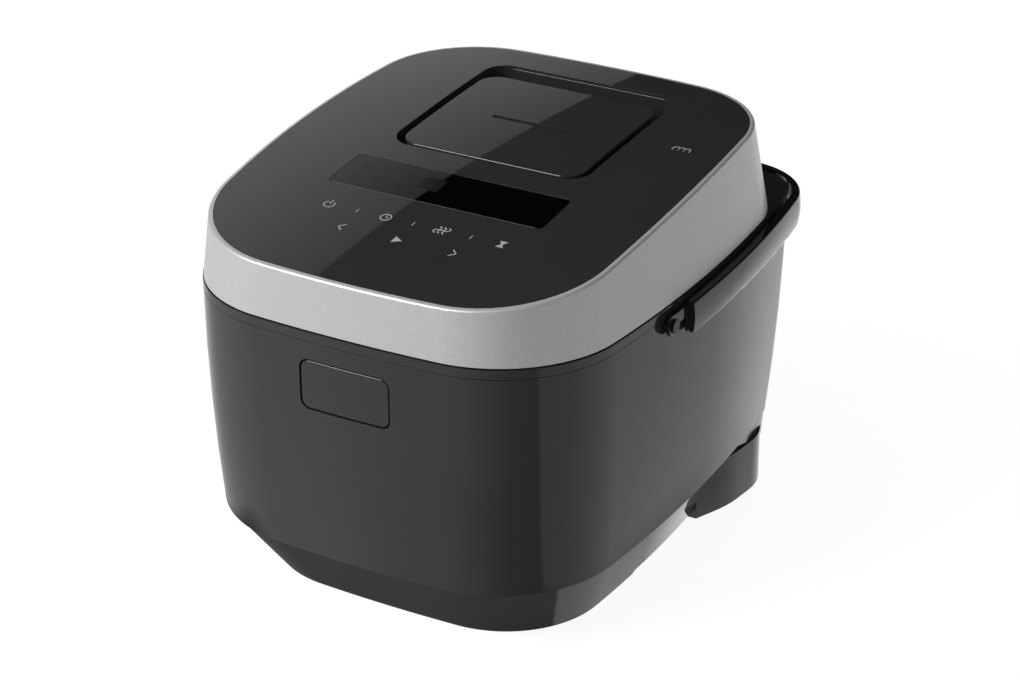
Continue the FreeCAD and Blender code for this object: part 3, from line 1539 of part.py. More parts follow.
def make_fan():
    half = size.fan_size / 2
    tip = size.fan_bore - size.fan_tip_gap
    housing = new_body("fan_housing")
    frame = sketch_on(housing, "XY")
    draw_box(frame, -half, -half, half, half, half - size.fan_bore)
    draw_circle(frame, 0.0, 0.0, size.fan_bore)
    pad(housing, frame, size.fan_height)
    spoke = sketch_on(housing, "XY", size.fan_height - size.fan_tip_gap * 2)
    draw_box(spoke, -size.fan_bore - size.fan_tip_gap, -size.fan_tip_gap,
             size.fan_bore + size.fan_tip_gap, size.fan_tip_gap)
    polar(housing, [pad(housing, spoke, size.fan_tip_gap * 2)], 2)
    stub = sketch_on(housing, "XY", size.fan_height)
    draw_circle(stub, 0.0, 0.0, size.fan_shaft)
    pad(housing, stub, size.fan_height / 2, back=True)
    place(housing, size.fan_x, size.fan_y, tray_floor)

    rotor = new_body("fan_rotor")
    hub = sketch_on(rotor, "XY", size.fan_tip_gap)
    draw_circle(hub, 0.0, 0.0, size.fan_hub)
    height = size.fan_height - size.rotor_gap
    pad(rotor, hub, height)
    blade = sketch_on(rotor, "YZ", size.fan_hub - size.fan_tip_gap)
    lean = height / 2
    thick = size.blade_thickness
    draw_outline(blade, [(-lean, size.fan_tip_gap), (thick - lean, size.fan_tip_gap),
                         (lean, size.fan_tip_gap + height), (lean - thick, size.fan_tip_gap + height)])
    polar(rotor, [pad(rotor, blade, tip - size.fan_hub)], size.blade_count)
    bearing = sketch_on(rotor, "XY", size.fan_height / 2 - size.fan_tip_gap)
    draw_circle(bearing, 0.0, 0.0, size.fan_shaft + size.running_gap)
    cut(rotor, bearing, size.fan_height)
    place(rotor, size.fan_x, size.fan_y, tray_floor)


def make_inlet():
    face = size.body_rear - size.body_rear_taper + size.inlet_proud
    floor = face - size.inlet_depth + size.inlet_wall
    inlet = new_body("power_inlet")
    box = sketch_on(inlet, "XZ", face)
    draw_box(box, *inlet_corners(0.0), size.inlet_wall)
    pad(inlet, box, size.inlet_depth)
    flange = sketch_on(inlet, "XZ", face - size.wall_cut)
    draw_box(flange, *inlet_corners(size.inlet_wall))
    pad(inlet, flange, size.inlet_wall)
    recess = sketch_on(inlet, "XZ", face)
    draw_box(recess, *inlet_corners(-size.inlet_wall), size.inlet_wall / 2)
    cut(inlet, recess, size.inlet_depth - size.inlet_wall)
    pins = new_body("inlet_pins", several_solids=True)
    rods = sketch_on(pins, "XZ", floor)
    for side in (1, -1):
        draw_circle(rods, size.inlet_x + side * size.inlet_pin_spacing / 2,
                    size.inlet_bottom + size.inlet_height / 2, size.inlet_pin_radius)
    pad(pins, rods, size.inlet_depth - size.inlet_pin_sink, back=True)


def check_and_export():
    """Stop on any failed object or cut that removes nothing, then write one file for each sub-part."""
    doc.recompute()
    for piece in doc.Objects:
        if {"Invalid", "Error"} & set(piece.State):
            owner = piece.getParentGeoFeatureGroup()
            raise RuntimeError(f"{piece.Label} of {owner.Label if owner else doc.Label} failed: {piece.State}")
        if piece.TypeId in ("PartDesign::Pocket", "PartDesign::SubtractiveLoft"):
            if piece.Shape.Volume > piece.BaseFeature.Shape.Volume - TOUCH:
                raise RuntimeError(f"{piece.Label} of {piece.getParentGeoFeatureGroup().Label} cuts nothing")
    os.makedirs("parts", exist_ok=True)
    for piece in nodes:
        if piece.Shape.isNull() or not piece.Shape.isValid():
            raise RuntimeError(f"{piece.Label} has no valid shape")
        piece.Shape.exportStep(f"parts/{piece.Label}.step")


spring_height = button_bottom + size.button_height / 2

make_shell()
make_collar()
make_button()
make_latch()
make_handle()
make_base()
make_pot()
make_sensor()
make_electronics()
make_fan()
make_inlet()
make_lid_ring()
make_lid_panel()
make_display()
make_vent_tray()
make_steam_cap()
make_lid_underside()
make_hinge()
check_and_export()
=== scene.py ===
import json
import math

import bpy
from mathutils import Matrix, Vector, kdtree


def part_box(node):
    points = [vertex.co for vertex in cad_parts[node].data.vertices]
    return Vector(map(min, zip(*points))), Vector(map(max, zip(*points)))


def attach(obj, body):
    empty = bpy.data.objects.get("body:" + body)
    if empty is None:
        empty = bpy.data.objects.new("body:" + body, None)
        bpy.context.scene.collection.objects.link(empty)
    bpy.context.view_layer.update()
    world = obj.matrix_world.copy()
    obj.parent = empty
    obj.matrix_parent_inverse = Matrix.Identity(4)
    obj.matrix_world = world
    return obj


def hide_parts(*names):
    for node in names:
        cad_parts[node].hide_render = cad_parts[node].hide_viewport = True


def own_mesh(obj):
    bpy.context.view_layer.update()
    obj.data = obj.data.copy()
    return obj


# Induction rice cooker with a charcoal body, a silver lid ring and a black glass-like lid panel.
# Metres, in the frame of the solids: +Z is up, the front button faces -Y, the floor is at zero.

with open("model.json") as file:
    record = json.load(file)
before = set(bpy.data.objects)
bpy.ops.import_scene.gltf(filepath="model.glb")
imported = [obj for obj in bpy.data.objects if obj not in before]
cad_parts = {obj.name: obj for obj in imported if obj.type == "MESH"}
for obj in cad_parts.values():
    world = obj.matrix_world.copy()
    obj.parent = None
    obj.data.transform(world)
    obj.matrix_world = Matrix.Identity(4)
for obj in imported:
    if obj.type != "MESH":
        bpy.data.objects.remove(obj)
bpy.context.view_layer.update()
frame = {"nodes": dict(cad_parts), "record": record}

# Base tray and its screws: a black moulded tray that closes the underside, with intake slots
# under the fan, held up into the body by four plain steel screws.

MM = 0.001
WELD_DISTANCE = 0.005 * MM
SMOOTH_ANGLE = math.radians(32)
FLAT_ANGLE = math.radians(0.4)
EDGE_ANGLE = math.radians(40)
EDGE_SEGMENTS = 3
nodes = frame["nodes"]
behaviour = frame["record"]["behaviour"]
body_of_node = {node: body for body, members in behaviour["bodies"].items() for node in members}


def select_only(piece):
    bpy.ops.object.select_all(action="DESELECT")
    piece.select_set(True)
    bpy.context.view_layer.objects.active = piece


def apply_modifiers(piece):
    select_only(piece)
    for modifier in list(piece.modifiers):
        bpy.ops.object.modifier_apply(modifier=modifier.name)


def ease_edges(piece, width):
    """Round the sharp edges of a piece, which catch a thin line of light."""
    bevel = piece.modifiers.new("eased_edges", "BEVEL")
    bevel.width = width
    bevel.segments = EDGE_SEGMENTS
    bevel.limit_method = "ANGLE"
    bevel.angle_limit = EDGE_ANGLE
    apply_modifiers(piece)


def paint(piece, material):
    piece.data.materials.clear()
    piece.data.materials.append(material)


def dress(node, material, edge=0.0, shape=None):
    """Show a solid by a welded copy of it, smooth on its rounds, eased on its edges, in its own finish."""
    piece = bpy.data.objects.new(f"{node}_finished", nodes[node].data.copy())
    bpy.context.scene.collection.objects.link(piece)
    select_only(piece)
    bpy.ops.mesh.customdata_custom_splitnormals_clear()
    bpy.ops.object.mode_set(mode="EDIT")
    bpy.ops.mesh.select_all(action="SELECT")
    bpy.ops.mesh.remove_doubles(threshold=WELD_DISTANCE)
    if edge:
        bpy.ops.mesh.dissolve_limited(angle_limit=FLAT_ANGLE)
    bpy.ops.object.mode_set(mode="OBJECT")
    if shape:
        shape(piece)
    if edge:
        ease_edges(piece, edge)
    select_only(piece)
    bpy.ops.object.shade_smooth_by_angle(angle=SMOOTH_ANGLE)
    piece.modifiers.new("flat_faces_first", "WEIGHTED_NORMAL").keep_sharp = True
    apply_modifiers(piece)
    paint(piece, material)
    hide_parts(node)
    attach(piece, body_of_node[node])
    return piece


def new_finish(name, colour, roughness, settings=None):
    """A material with its shader's plain settings; returns it with its node tree and shader."""
    material = bpy.data.materials.new(name)
    material.use_nodes = True
    tree = material.node_tree
    shader = tree.nodes["Principled BSDF"]
    shader.inputs["Base Color"].default_value = (*colour, 1.0)
    shader.inputs["Roughness"].default_value = roughness
    for socket, value in (settings or {}).items():
        shader.inputs[socket].default_value = value
    return material, tree, shader


def add_node(tree, kind, **settings):
    """A shader node, with each setting put on the node itself or on its socket of that name."""
    node = tree.nodes.new(kind)
    for name, value in settings.items():
        if hasattr(node, name):
            setattr(node, name, value)
        else:
            node.inputs[name].default_value = value
    return node


def add_noise(tree, scale, detail=3.0, stretch=(1.0, 1.0, 1.0)):
    """Noise that stays with the piece, with so many grains to the metre."""
    place = add_node(tree, "ShaderNodeTexCoord")
    mapping = add_node(tree, "ShaderNodeMapping")
    mapping.inputs["Scale"].default_value = stretch
    noise = add_node(tree, "ShaderNodeTexNoise", Scale=scale, Detail=detail)
    tree.links.new(place.outputs["Object"], mapping.inputs["Vector"])
    tree.links.new(mapping.outputs["Vector"], noise.inputs["Vector"])
    return noise.outputs["Fac"]


DARK_STOP = 0.3
PALE_STOP = 0.7


def vary_colour(tree, shader, noise, colour, share):
    """Let the colour drift lighter and darker by a share of itself."""
    ramp = add_node(tree, "ShaderNodeValToRGB")
    for stop, factor, where in zip(ramp.color_ramp.elements, (1 - share, 1 + share), (DARK_STOP, PALE_STOP)):
        stop.position = where
        stop.color = (*(channel * factor for channel in colour), 1.0)
    tree.links.new(noise, ramp.inputs["Fac"])
    tree.links.new(ramp.outputs["Color"], shader.inputs["Base Color"])


def vary_roughness(tree, shader, noise, low, high):
    spread = add_node(tree, "ShaderNodeMapRange")
    spread.inputs["To Min"].default_value = low
    spread.inputs["To Max"].default_value = high
    tree.links.new(noise, spread.inputs["Value"])
    tree.links.new(spread.outputs["Result"], shader.inputs["Roughness"])


def add_grain(tree, shader, noise, depth):
    """Raise a fine grain of the given depth on the surface."""
    bump = add_node(tree, "ShaderNodeBump", Strength=1.0, Distance=depth)
    tree.links.new(noise, bump.inputs["Height"])
    tree.links.new(bump.outputs["Normal"], shader.inputs["Normal"])


MOULD_DRIFT_SCALE = 14.0
MOULD_DRIFT = 0.06
POLISH_SCALE = 60.0
POLISH_LOW = 0.85
POLISH_HIGH = 1.15
SKIN_DETAIL = 2.0


def moulded_plastic(name, colour, roughness, grain_scale, grain_depth, settings=None):
    """Moulded plastic: an even colour with a slow drift, a slightly uneven polish and a fine skin."""
    material, tree, shader = new_finish(name, colour, roughness, settings)
    vary_colour(tree, shader, add_noise(tree, MOULD_DRIFT_SCALE), colour, MOULD_DRIFT)
    vary_roughness(tree, shader, add_noise(tree, POLISH_SCALE), roughness * POLISH_LOW, roughness * POLISH_HIGH)
    add_grain(tree, shader, add_noise(tree, grain_scale, SKIN_DETAIL), grain_depth)
    return material


METAL_DRIFT_SCALE = 30.0
METAL_DRIFT = 0.05
SCRATCH_DETAIL = 4.0
SCRATCH_LOW = 0.75
SCRATCH_HIGH = 1.3


def bright_metal(name, colour, roughness, brush=(1.0, 1.0, 1.0), scratch_scale=500.0, scratch_depth=0.004 * MM):
    """Bare metal with fine scratches, drawn out along one way where it is brushed."""
    material, tree, shader = new_finish(name, colour, roughness, {"Metallic": 1.0})
    vary_colour(tree, shader, add_noise(tree, METAL_DRIFT_SCALE), colour, METAL_DRIFT)
    scratches = add_noise(tree, scratch_scale, SCRATCH_DETAIL, brush)
    vary_roughness(tree, shader, scratches, roughness * SCRATCH_LOW, roughness * SCRATCH_HIGH)
    add_grain(tree, shader, scratches, scratch_depth)
    return material


base_black = moulded_plastic("base_black", colour=(0.022, 0.022, 0.023), roughness=0.42,
                             grain_scale=900.0, grain_depth=0.02 * MM)
plain_steel = bright_metal("plain_steel", colour=(0.55, 0.55, 0.56), roughness=0.3)
dress("base_tray", base_black)
dress("base_screws", plain_steel)

# Rubber feet: four soft round pads pressed into pockets of the base, on which the cooker stands.
# They are moulded from grey-black rubber with a matt, slightly dusty skin.

soft_rubber = moulded_plastic("soft_rubber", colour=(0.03, 0.03, 0.031), roughness=0.75,
                              grain_scale=1400.0, grain_depth=0.03 * MM)
dress("rubber_feet", soft_rubber, edge=0.6 * MM)

# Rear base and plinth skirt: the black moulding with two legs that holds up the rear, and the
# glossy tapered skirt below the body, which clips to the tray.

charcoal_gloss = moulded_plastic("charcoal_gloss", colour=(0.019, 0.019, 0.0195), roughness=0.06,
                                 grain_scale=60.0, grain_depth=0.0012 * MM)
rear_black = moulded_plastic("rear_base_black", colour=(0.036, 0.036, 0.037), roughness=0.2,
                             grain_scale=500.0, grain_depth=0.003 * MM)
dress("rear_base", rear_black)
dress("plinth_skirt", charcoal_gloss)

# Body shell and release button: one tapered moulding in charcoal plastic with a deep gloss, and the
# flush button in its front wall, which slides in against two springs.

dress("body_shell", charcoal_gloss, edge=0.4 * MM)
dress("lid_button", charcoal_gloss, edge=0.6 * MM)

# Latch behind the button: a bracket fixed to the wall, the lever on its steel pin and the two
# springs that push the button out again. The springs are drawn as plain sleeves.

frame_dark = moulded_plastic("frame_dark", colour=(0.04, 0.04, 0.043), roughness=0.45,
                             grain_scale=800.0, grain_depth=0.015 * MM)
dress("latch_bracket", frame_dark)
dress("latch_lever", plain_steel)
dress("latch_pin", plain_steel)


def shorten_with(piece):
    """Give a spring its own copy of its mesh."""
    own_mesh(piece)


button_springs = dress("button_springs", plain_steel)
shorten_with(button_springs)

# Mains inlet: a black moulded socket let into the rear wall, with two plated contact pins.
# It takes the connector of a loose lead.

contact_metal = bright_metal("contact_metal", colour=(0.75, 0.75, 0.76), roughness=0.16)
dress("power_inlet", base_black)
dress("inlet_pins", contact_metal)

# Boards and electronics: green glass-fibre boards on the tray and in the lid, an aluminium heat sink
# with fins, two sleeved capacitors, the display's case, and the cooling fan in its square housing.

BOARD_GREEN = (0.02, 0.1, 0.045)
board_green, tree, shader = new_finish("board_green", BOARD_GREEN, roughness=0.35)
vary_colour(tree, shader, add_noise(tree, scale=240.0, detail=1.0), BOARD_GREEN, share=0.35)
add_grain(tree, shader, add_noise(tree, scale=700.0), depth=0.02 * MM)
heater_foil = bright_metal("heater_foil", colour=(0.7, 0.7, 0.71), roughness=0.32)
for node in ("power_board", "control_board"):
    dress(node, board_green)
dress("heat_sink", heater_foil)
for node in ("filter_capacitors", "fan_housing", "fan_rotor", "display_module"):
    dress(node, frame_dark)

# Induction heating under the pot: wound copper on a dark carrier, six ferrite bars below it, and
# the sprung temperature sensor that presses on the pot's floor.

COPPER = (0.6, 0.27, 0.14)
coil_copper, tree, shader = new_finish("coil_copper", COPPER, roughness=0.3, settings={"Metallic": 1.0})
place = add_node(tree, "ShaderNodeTexCoord")
turns = add_node(tree, "ShaderNodeTexWave", wave_type="RINGS", rings_direction="Z", Scale=130.0)
tree.links.new(place.outputs["Object"], turns.inputs["Vector"])
vary_colour(tree, shader, turns.outputs["Fac"], COPPER, share=0.3)
add_grain(tree, shader, turns.outputs["Fac"], depth=0.5 * MM)
ferrite_grey = moulded_plastic("ferrite_grey", colour=(0.08, 0.08, 0.085), roughness=0.6,
                               grain_scale=600.0, grain_depth=0.03 * MM)
dress("induction_coil", coil_copper)
dress("coil_carrier", frame_dark)
dress("ferrite_bars", ferrite_grey)
dress("sensor_holder", frame_dark)
dress("pot_sensor", heater_foil)
sensor_spring = dress("sensor_spring", plain_steel)
shorten_with(sensor_spring)

# Pot well and its warming band: a pressed aluminium bowl round which the band heater is wrapped.
# The inner pot hangs in it by its flange: spun aluminium with a dark, faintly speckled coating.

POT_DARK = (0.045, 0.043, 0.042)
pot_coating, tree, shader = new_finish("pot_coating", POT_DARK, roughness=0.38, settings={"Metallic": 0.35})
speckle = add_noise(tree, scale=900.0, detail=1.0)
vary_colour(tree, shader, speckle, POT_DARK, share=0.35)
vary_roughness(tree, shader, add_noise(tree, scale=40.0), low=0.32, high=0.46)
add_grain(tree, shader, speckle, depth=0.012 * MM)
dress("pot_well", heater_foil)
dress("warm_heater", heater_foil)
dress("inner_pot", pot_coating)

# Upper collar: a charcoal ring that closes the top of the body, carries the pot and holds the
# hinge pin, whose spring lifts the lid.

collar_dark = moulded_plastic("collar_dark", colour=(0.02, 0.02, 0.0205), roughness=0.12,
                              grain_scale=200.0, grain_depth=0.004 * MM)
dress("upper_collar", collar_dark)
dress("hinge_pin", plain_steel)
dress("hinge_spring", plain_steel)

# Carrying handle: a glossy black channel-section bow with a softly crowned outer wall, which folds
# back round the rear on two dull black headed pivots in the sides of the body.

HANDLE_CROWN = 1.1 * MM
RIM_ROOM = 0.5 * MM
ROOM_GAIN = 2.5 * MM
CROWN_ROWS = 9
UPRIGHT = 0.35
FACING_FRONT = -0.6
CLEAR_OF_SKIN = 0.05 * MM
SKIN_DEPTH = 1.75 * MM
IN_PLAN = Vector((1.0, 1.0, 0.0))


def crown_outside(piece):
    """Let the outer wall of the handle swell a little between its upper and its lower edge."""
    low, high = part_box("carry_handle")
    bottom, top = low[2], high[2]
    select_only(piece)
    bpy.ops.object.mode_set(mode="EDIT")
    for row in range(1, CROWN_ROWS):
        bpy.ops.mesh.select_all(action="SELECT")
        level = bottom + (top - bottom) * row / CROWN_ROWS
        bpy.ops.mesh.bisect(plane_co=(0.0, 0.0, level), plane_no=(0.0, 0.0, 1.0))
    bpy.ops.mesh.select_all(action="SELECT")
    bpy.ops.mesh.quads_convert_to_tris()
    bpy.ops.object.mode_set(mode="OBJECT")
    ways = {}
    for face in piece.data.polygons:
        way = face.normal
        if abs(way.z) > UPRIGHT or way.y < FACING_FRONT:
            continue
        struck = piece.ray_cast(face.center + way * CLEAR_OF_SKIN, way)[0]
        if not struck and way.x * face.center.x + way.y * face.center.y > 0:
            for corner in face.vertices:
                ways[corner] = ways.get(corner, Vector()) + way * IN_PLAN * face.area
    skin = kdtree.KDTree(len(ways))
    for corner in ways:
        skin.insert(piece.data.vertices[corner].co * IN_PLAN, corner)
    skin.balance()
    middle = (bottom + top) / 2
    for vertex in piece.data.vertices:
        nearest, corner, depth = skin.find(vertex.co * IN_PLAN)
        if depth < SKIN_DEPTH:
            share = abs(vertex.co.z - middle) / (top - middle)
            inward = min(HANDLE_CROWN * share ** 2, RIM_ROOM + ROOM_GAIN * (1 - share))
            vertex.co -= ways[corner].normalized() * inward


handle_black = moulded_plastic("handle_black", colour=(0.011, 0.011, 0.0115), roughness=0.07,
                               grain_scale=60.0, grain_depth=0.0012 * MM)
pivot_black = moulded_plastic("pivot_black", colour=(0.008, 0.008, 0.0083), roughness=0.34,
                              grain_scale=500.0, grain_depth=0.004 * MM,
                              settings={"Specular IOR Level": 0.3})
dress("carry_handle", handle_black, edge=0.2 * MM, shape=crown_outside)
dress("handle_pivots", pivot_black, edge=0.4 * MM)

# Underside of the lid: the dark frame that carries everything, its heater, the brushed steel inner
# lid with its steam holes, the grey gasket that seals on the pot, the catch and the screws.

seal_grey = moulded_plastic("seal_grey", colour=(0.3, 0.3, 0.31), roughness=0.55,
                            grain_scale=700.0, grain_depth=0.01 * MM)
plate_steel = bright_metal("plate_steel", colour=(0.62, 0.62, 0.63), roughness=0.26,
                           brush=(1.0, 240.0, 1.0), scratch_scale=10.0, scratch_depth=0.0003 * MM)
dress("lid_frame", frame_dark)
dress("lid_heater", heater_foil)
dress("inner_lid", plate_steel)
dress("lid_gasket", seal_grey)
dress("steam_seal", seal_grey)
dress("lid_catch", plain_steel)
dress("lid_screws", plain_steel)

# Lid ring: the leaning silver band round the lid, moulded and sprayed with a fine metallic paint
# whose flakes catch the light one by one.

SILVER = (0.46, 0.46, 0.45)
PAINT_COAT = {"Metallic": 0.45, "Coat Weight": 0.25, "Coat Roughness": 0.25}
silver_flake, tree, shader = new_finish("silver_flake", SILVER, roughness=0.42, settings=PAINT_COAT)
flakes = add_noise(tree, scale=1500.0, detail=2.0)
vary_colour(tree, shader, flakes, SILVER, share=0.1)
add_grain(tree, shader, flakes, depth=0.03 * MM)
dress("lid_ring", silver_flake)

# Lid panel: one gently bowed sheet of gloss black plastic let into the ring, with pale symbols
# printed over the touch keys.

panel_black = moulded_plastic("panel_black", colour=(0.0195, 0.0195, 0.0195), roughness=0.016,
                              grain_scale=90.0, grain_depth=0.0003 * MM)
panel = dress("lid_panel", panel_black, edge=0.3 * MM)
UPPER_CORNER = 6
panel_top = panel.bound_box[UPPER_CORNER][2]

LID_AXIS = -16.3 * MM
LID_HEIGHT = 233.44 * MM
LID_SLOPE = 0.0874
LID_BOW = 0.3
BOW_SIZE = 0.4
BOW_STRIPS = 96
UPWARD = 0.97
bpy.ops.object.select_all(action="DESELECT")
bpy.ops.mesh.primitive_grid_add(x_subdivisions=1, y_subdivisions=BOW_STRIPS, size=BOW_SIZE)
bow = bpy.context.active_object
for corner in bow.data.vertices:
    back = corner.co.y - LID_AXIS
    corner.co.z = LID_HEIGHT + LID_SLOPE * back - LID_BOW * back ** 2
bpy.ops.object.shade_smooth()


def follow_bow(piece):
    """Shade the top of a piece by the true bow of the lid, which its facets follow only in steps."""
    top = piece.vertex_groups.new(name="top")
    for face in piece.data.polygons:
        if face.normal.z > UPWARD:
            top.add(list(face.vertices), 1.0, "REPLACE")
    shading = piece.modifiers.new("bowed_shading", "DATA_TRANSFER")
    shading.object = bow
    shading.use_loop_data = True
    shading.data_types_loops = {"CUSTOM_NORMAL"}
    shading.loop_mapping = "POLYINTERP_NEAREST"
    shading.vertex_group = top.name
    apply_modifiers(piece)


follow_bow(panel)

LINE = 0.75 * MM
ARC_STEPS = 28
ARC_START = LINE / 50
ARC_WELD = LINE / 10
CHEVRON_SPREAD = 0.36
CHEVRON_LEAN = math.radians(42)
marks = []


def add_bar(across, back, width, depth, turn=0.0):
    """A flat printed bar above the panel, turned about its middle."""
    bpy.ops.object.select_all(action="DESELECT")
    bpy.ops.mesh.primitive_plane_add(size=1.0, location=(across, back, panel_top), rotation=(0.0, 0.0, turn))
    bar = bpy.context.active_object
    bar.scale = (width, depth, 1.0)
    marks.append(bar)


def add_arc(across, back, radius, start, sweep):
    """A printed arc: a short bar swung about the middle of the arc."""
    add_bar(across + radius * math.cos(start), back + radius * math.sin(start), LINE, ARC_START, start)
    arc = marks[-1]
    select_only(arc)
    bpy.ops.object.transform_apply(location=True, rotation=True, scale=True)
    bpy.ops.object.mode_set(mode="EDIT")
    bpy.ops.mesh.select_all(action="SELECT")
    bpy.ops.mesh.delete(type="ONLY_FACE")
    bpy.ops.mesh.select_all(action="SELECT")
    bpy.ops.mesh.remove_doubles(threshold=ARC_WELD)
    bpy.ops.mesh.select_all(action="SELECT")
    bpy.ops.mesh.spin(steps=ARC_STEPS, angle=sweep, center=(across, back, panel_top), axis=(0.0, 0.0, 1.0))
    bpy.ops.object.mode_set(mode="OBJECT")


def add_triangle(across, back, radius, turn):
    bpy.ops.object.select_all(action="DESELECT")
    bpy.ops.mesh.primitive_circle_add(vertices=3, radius=radius, fill_type="NGON",
                                      location=(across, back, panel_top), rotation=(0.0, 0.0, turn))
    marks.append(bpy.context.active_object)


def add_chevron(across, back, reach, way):
    """Two bars that meet in a point, which looks to the left or to the right."""
    for side in (1, -1):
        add_bar(across, back + side * reach * CHEVRON_SPREAD, reach, LINE, -way * side * CHEVRON_LEAN)


KEY_ROW = -101.3 * MM
LOW_ROW = -119.0 * MM
RING = 3.1 * MM
STEM = 1.2 * RING
POWER_KEY = -52.5 * MM
POWER_RISE = 0.8 * RING
POWER_OPENING_END = math.radians(55)
POWER_SWEEP = math.radians(290)
add_arc(POWER_KEY, KEY_ROW, RING, POWER_OPENING_END, POWER_SWEEP)
add_bar(POWER_KEY, KEY_ROW + POWER_RISE, LINE, STEM)

CLOCK_KEY = -16.0 * MM
HAND_LINE = 0.8 * LINE
LONG_HAND = 0.75 * RING
LONG_HAND_RISE = 0.3 * RING
SHORT_HAND = 0.55 * RING
SHORT_HAND_REACH = 0.25 * RING
add_arc(CLOCK_KEY, KEY_ROW, RING, 0.0, math.tau)
add_bar(CLOCK_KEY, KEY_ROW + LONG_HAND_RISE, HAND_LINE, LONG_HAND)
add_bar(CLOCK_KEY + SHORT_HAND_REACH, KEY_ROW, SHORT_HAND, HAND_LINE)

WARM_KEY = 19.4 * MM
WAVE_PITCH = 0.9 * RING
WAVE_RADIUS = 0.5 * RING
LOWER_START = math.radians(270)
UPPER_START = math.radians(90)
for step in (-1, 0, 1):
    wave_middle = WARM_KEY + step * WAVE_PITCH
    add_arc(wave_middle, KEY_ROW - WAVE_RADIUS, WAVE_RADIUS, LOWER_START, math.pi)
    add_arc(wave_middle, KEY_ROW + WAVE_RADIUS, WAVE_RADIUS, UPPER_START, math.pi)

HOUR_KEY = 56.4 * MM
GLASS_RISE = 0.55 * RING
GLASS_RADIUS = 0.9 * RING
add_triangle(HOUR_KEY, KEY_ROW + GLASS_RISE, GLASS_RADIUS, math.pi)
add_triangle(HOUR_KEY, KEY_ROW - GLASS_RISE, GLASS_RADIUS, 0.0)

DIVIDERS = (-34.4 * MM, 1.5 * MM, 37.5 * MM)
DIVIDER_LINE = 0.7 * LINE
for divider in DIVIDERS:
    add_bar(divider, KEY_ROW, DIVIDER_LINE, STEM)

BACK_KEY = -33.5 * MM
NEXT_KEY = 37.0 * MM
START_KEY = 1.5 * MM
CHEVRON_REACH = 4.4 * MM
START_RADIUS = 3.6 * MM
add_chevron(BACK_KEY, LOW_ROW, CHEVRON_REACH, -1)
add_chevron(NEXT_KEY, LOW_ROW, CHEVRON_REACH, 1)
add_triangle(START_KEY, LOW_ROW, START_RADIUS, -math.pi / 2)

COIL_ACROSS = 93.8 * MM
COIL_BACK = 36.0 * MM
COIL_PITCH = 1.1 * RING
COIL_RADIUS = 0.55 * RING
COIL_LEG = 0.8 * RING
for step in (-1, 0, 1):
    loop_middle = COIL_ACROSS + step * COIL_PITCH
    add_arc(loop_middle, COIL_BACK, COIL_RADIUS, math.pi, math.pi)
    for side in (-1, 1):
        add_bar(loop_middle + side * COIL_RADIUS, COIL_BACK - COIL_LEG / 2, LINE, COIL_LEG)

PRINT_LIFT = 0.04 * MM
PRINT_THICK = 0.03 * MM


def settle(pieces, target):
    """Join flat marks, drop them on the surface below and give them a film's thickness."""
    bpy.ops.object.select_all(action="DESELECT")
    for piece in pieces:
        piece.select_set(True)
    bpy.context.view_layer.objects.active = pieces[0]
    bpy.ops.object.join()
    film = bpy.context.active_object
    bpy.ops.object.transform_apply(location=True, rotation=True, scale=True)
    bpy.context.scene.cursor.location = (0.0, 0.0, 0.0)
    bpy.ops.object.origin_set(type="ORIGIN_CURSOR")
    drop = film.modifiers.new("dropped", "SHRINKWRAP")
    drop.target = target
    drop.wrap_method = "PROJECT"
    drop.use_project_z = True
    drop.use_negative_direction = True
    drop.offset = PRINT_LIFT
    solid = film.modifiers.new("film", "SOLIDIFY")
    solid.thickness = PRINT_THICK
    apply_modifiers(film)
    select_only(film)
    bpy.ops.object.mode_set(mode="EDIT")
    bpy.ops.mesh.select_all(action="SELECT")
    bpy.ops.mesh.normals_make_consistent(inside=False)
    bpy.ops.object.mode_set(mode="OBJECT")
    return film


print_grey = moulded_plastic("print_grey", colour=(0.27, 0.27, 0.27), roughness=0.5,
                             grain_scale=2000.0, grain_depth=0.002 * MM)
prints = settle(marks, panel)
prints.name = "key_prints"
paint(prints, print_grey)
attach(prints, "lid")

# Display window: a clear near-black pane let flush into the panel over the display.
# Its unlit segments show as slightly duller bars in the gloss.

display_dark = moulded_plastic("display_dark", colour=(0.0006, 0.0006, 0.0007), roughness=0.014,
                               grain_scale=90.0, grain_depth=0.0003 * MM)
window = dress("display_window", display_dark, edge=0.12 * MM)
follow_bow(window)

SEGMENT_LEFT = -56.0 * MM
SEGMENT_BACK = -54.0 * MM
SEGMENT_COLUMNS = 3
SEGMENT_LINES = 2
COLUMN_PITCH = 14.0 * MM
LINE_PITCH = 13.0 * MM
STRIPES = 3
STRIPE_PITCH = 1.8 * MM
STRIPE_LONGEST = 8.5 * MM
STRIPE_LESS = 1.7 * MM
marks = []
for column in range(SEGMENT_COLUMNS):
    for line in range(SEGMENT_LINES):
        for stripe in range(STRIPES):
            add_bar(SEGMENT_LEFT + COLUMN_PITCH * column,
                    SEGMENT_BACK - LINE_PITCH * line - STRIPE_PITCH * stripe,
                    STRIPE_LONGEST - STRIPE_LESS * stripe, LINE)
FIELD_ACROSS = -11.9 * MM
FIELD_BACK = -60.0 * MM
FIELD_WIDTH = 13.8 * MM
FIELD_DEPTH = 13.5 * MM
add_bar(FIELD_ACROSS, FIELD_BACK, FIELD_WIDTH, FIELD_DEPTH)
segment_dark = moulded_plastic("segment_dark", colour=(0.001, 0.001, 0.001), roughness=0.1,
                               grain_scale=900.0, grain_depth=0.0003 * MM,
                               settings={"Specular IOR Level": 0.36})
segments = settle(marks, window)
segments.name = "display_segments"
paint(segments, segment_dark)
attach(segments, "lid")

# Steam tray, cap and cap base: black moulded pieces in the rear of the lid; the cap lifts out of its
# tray for cleaning, and steam leaves by the slit in its top.

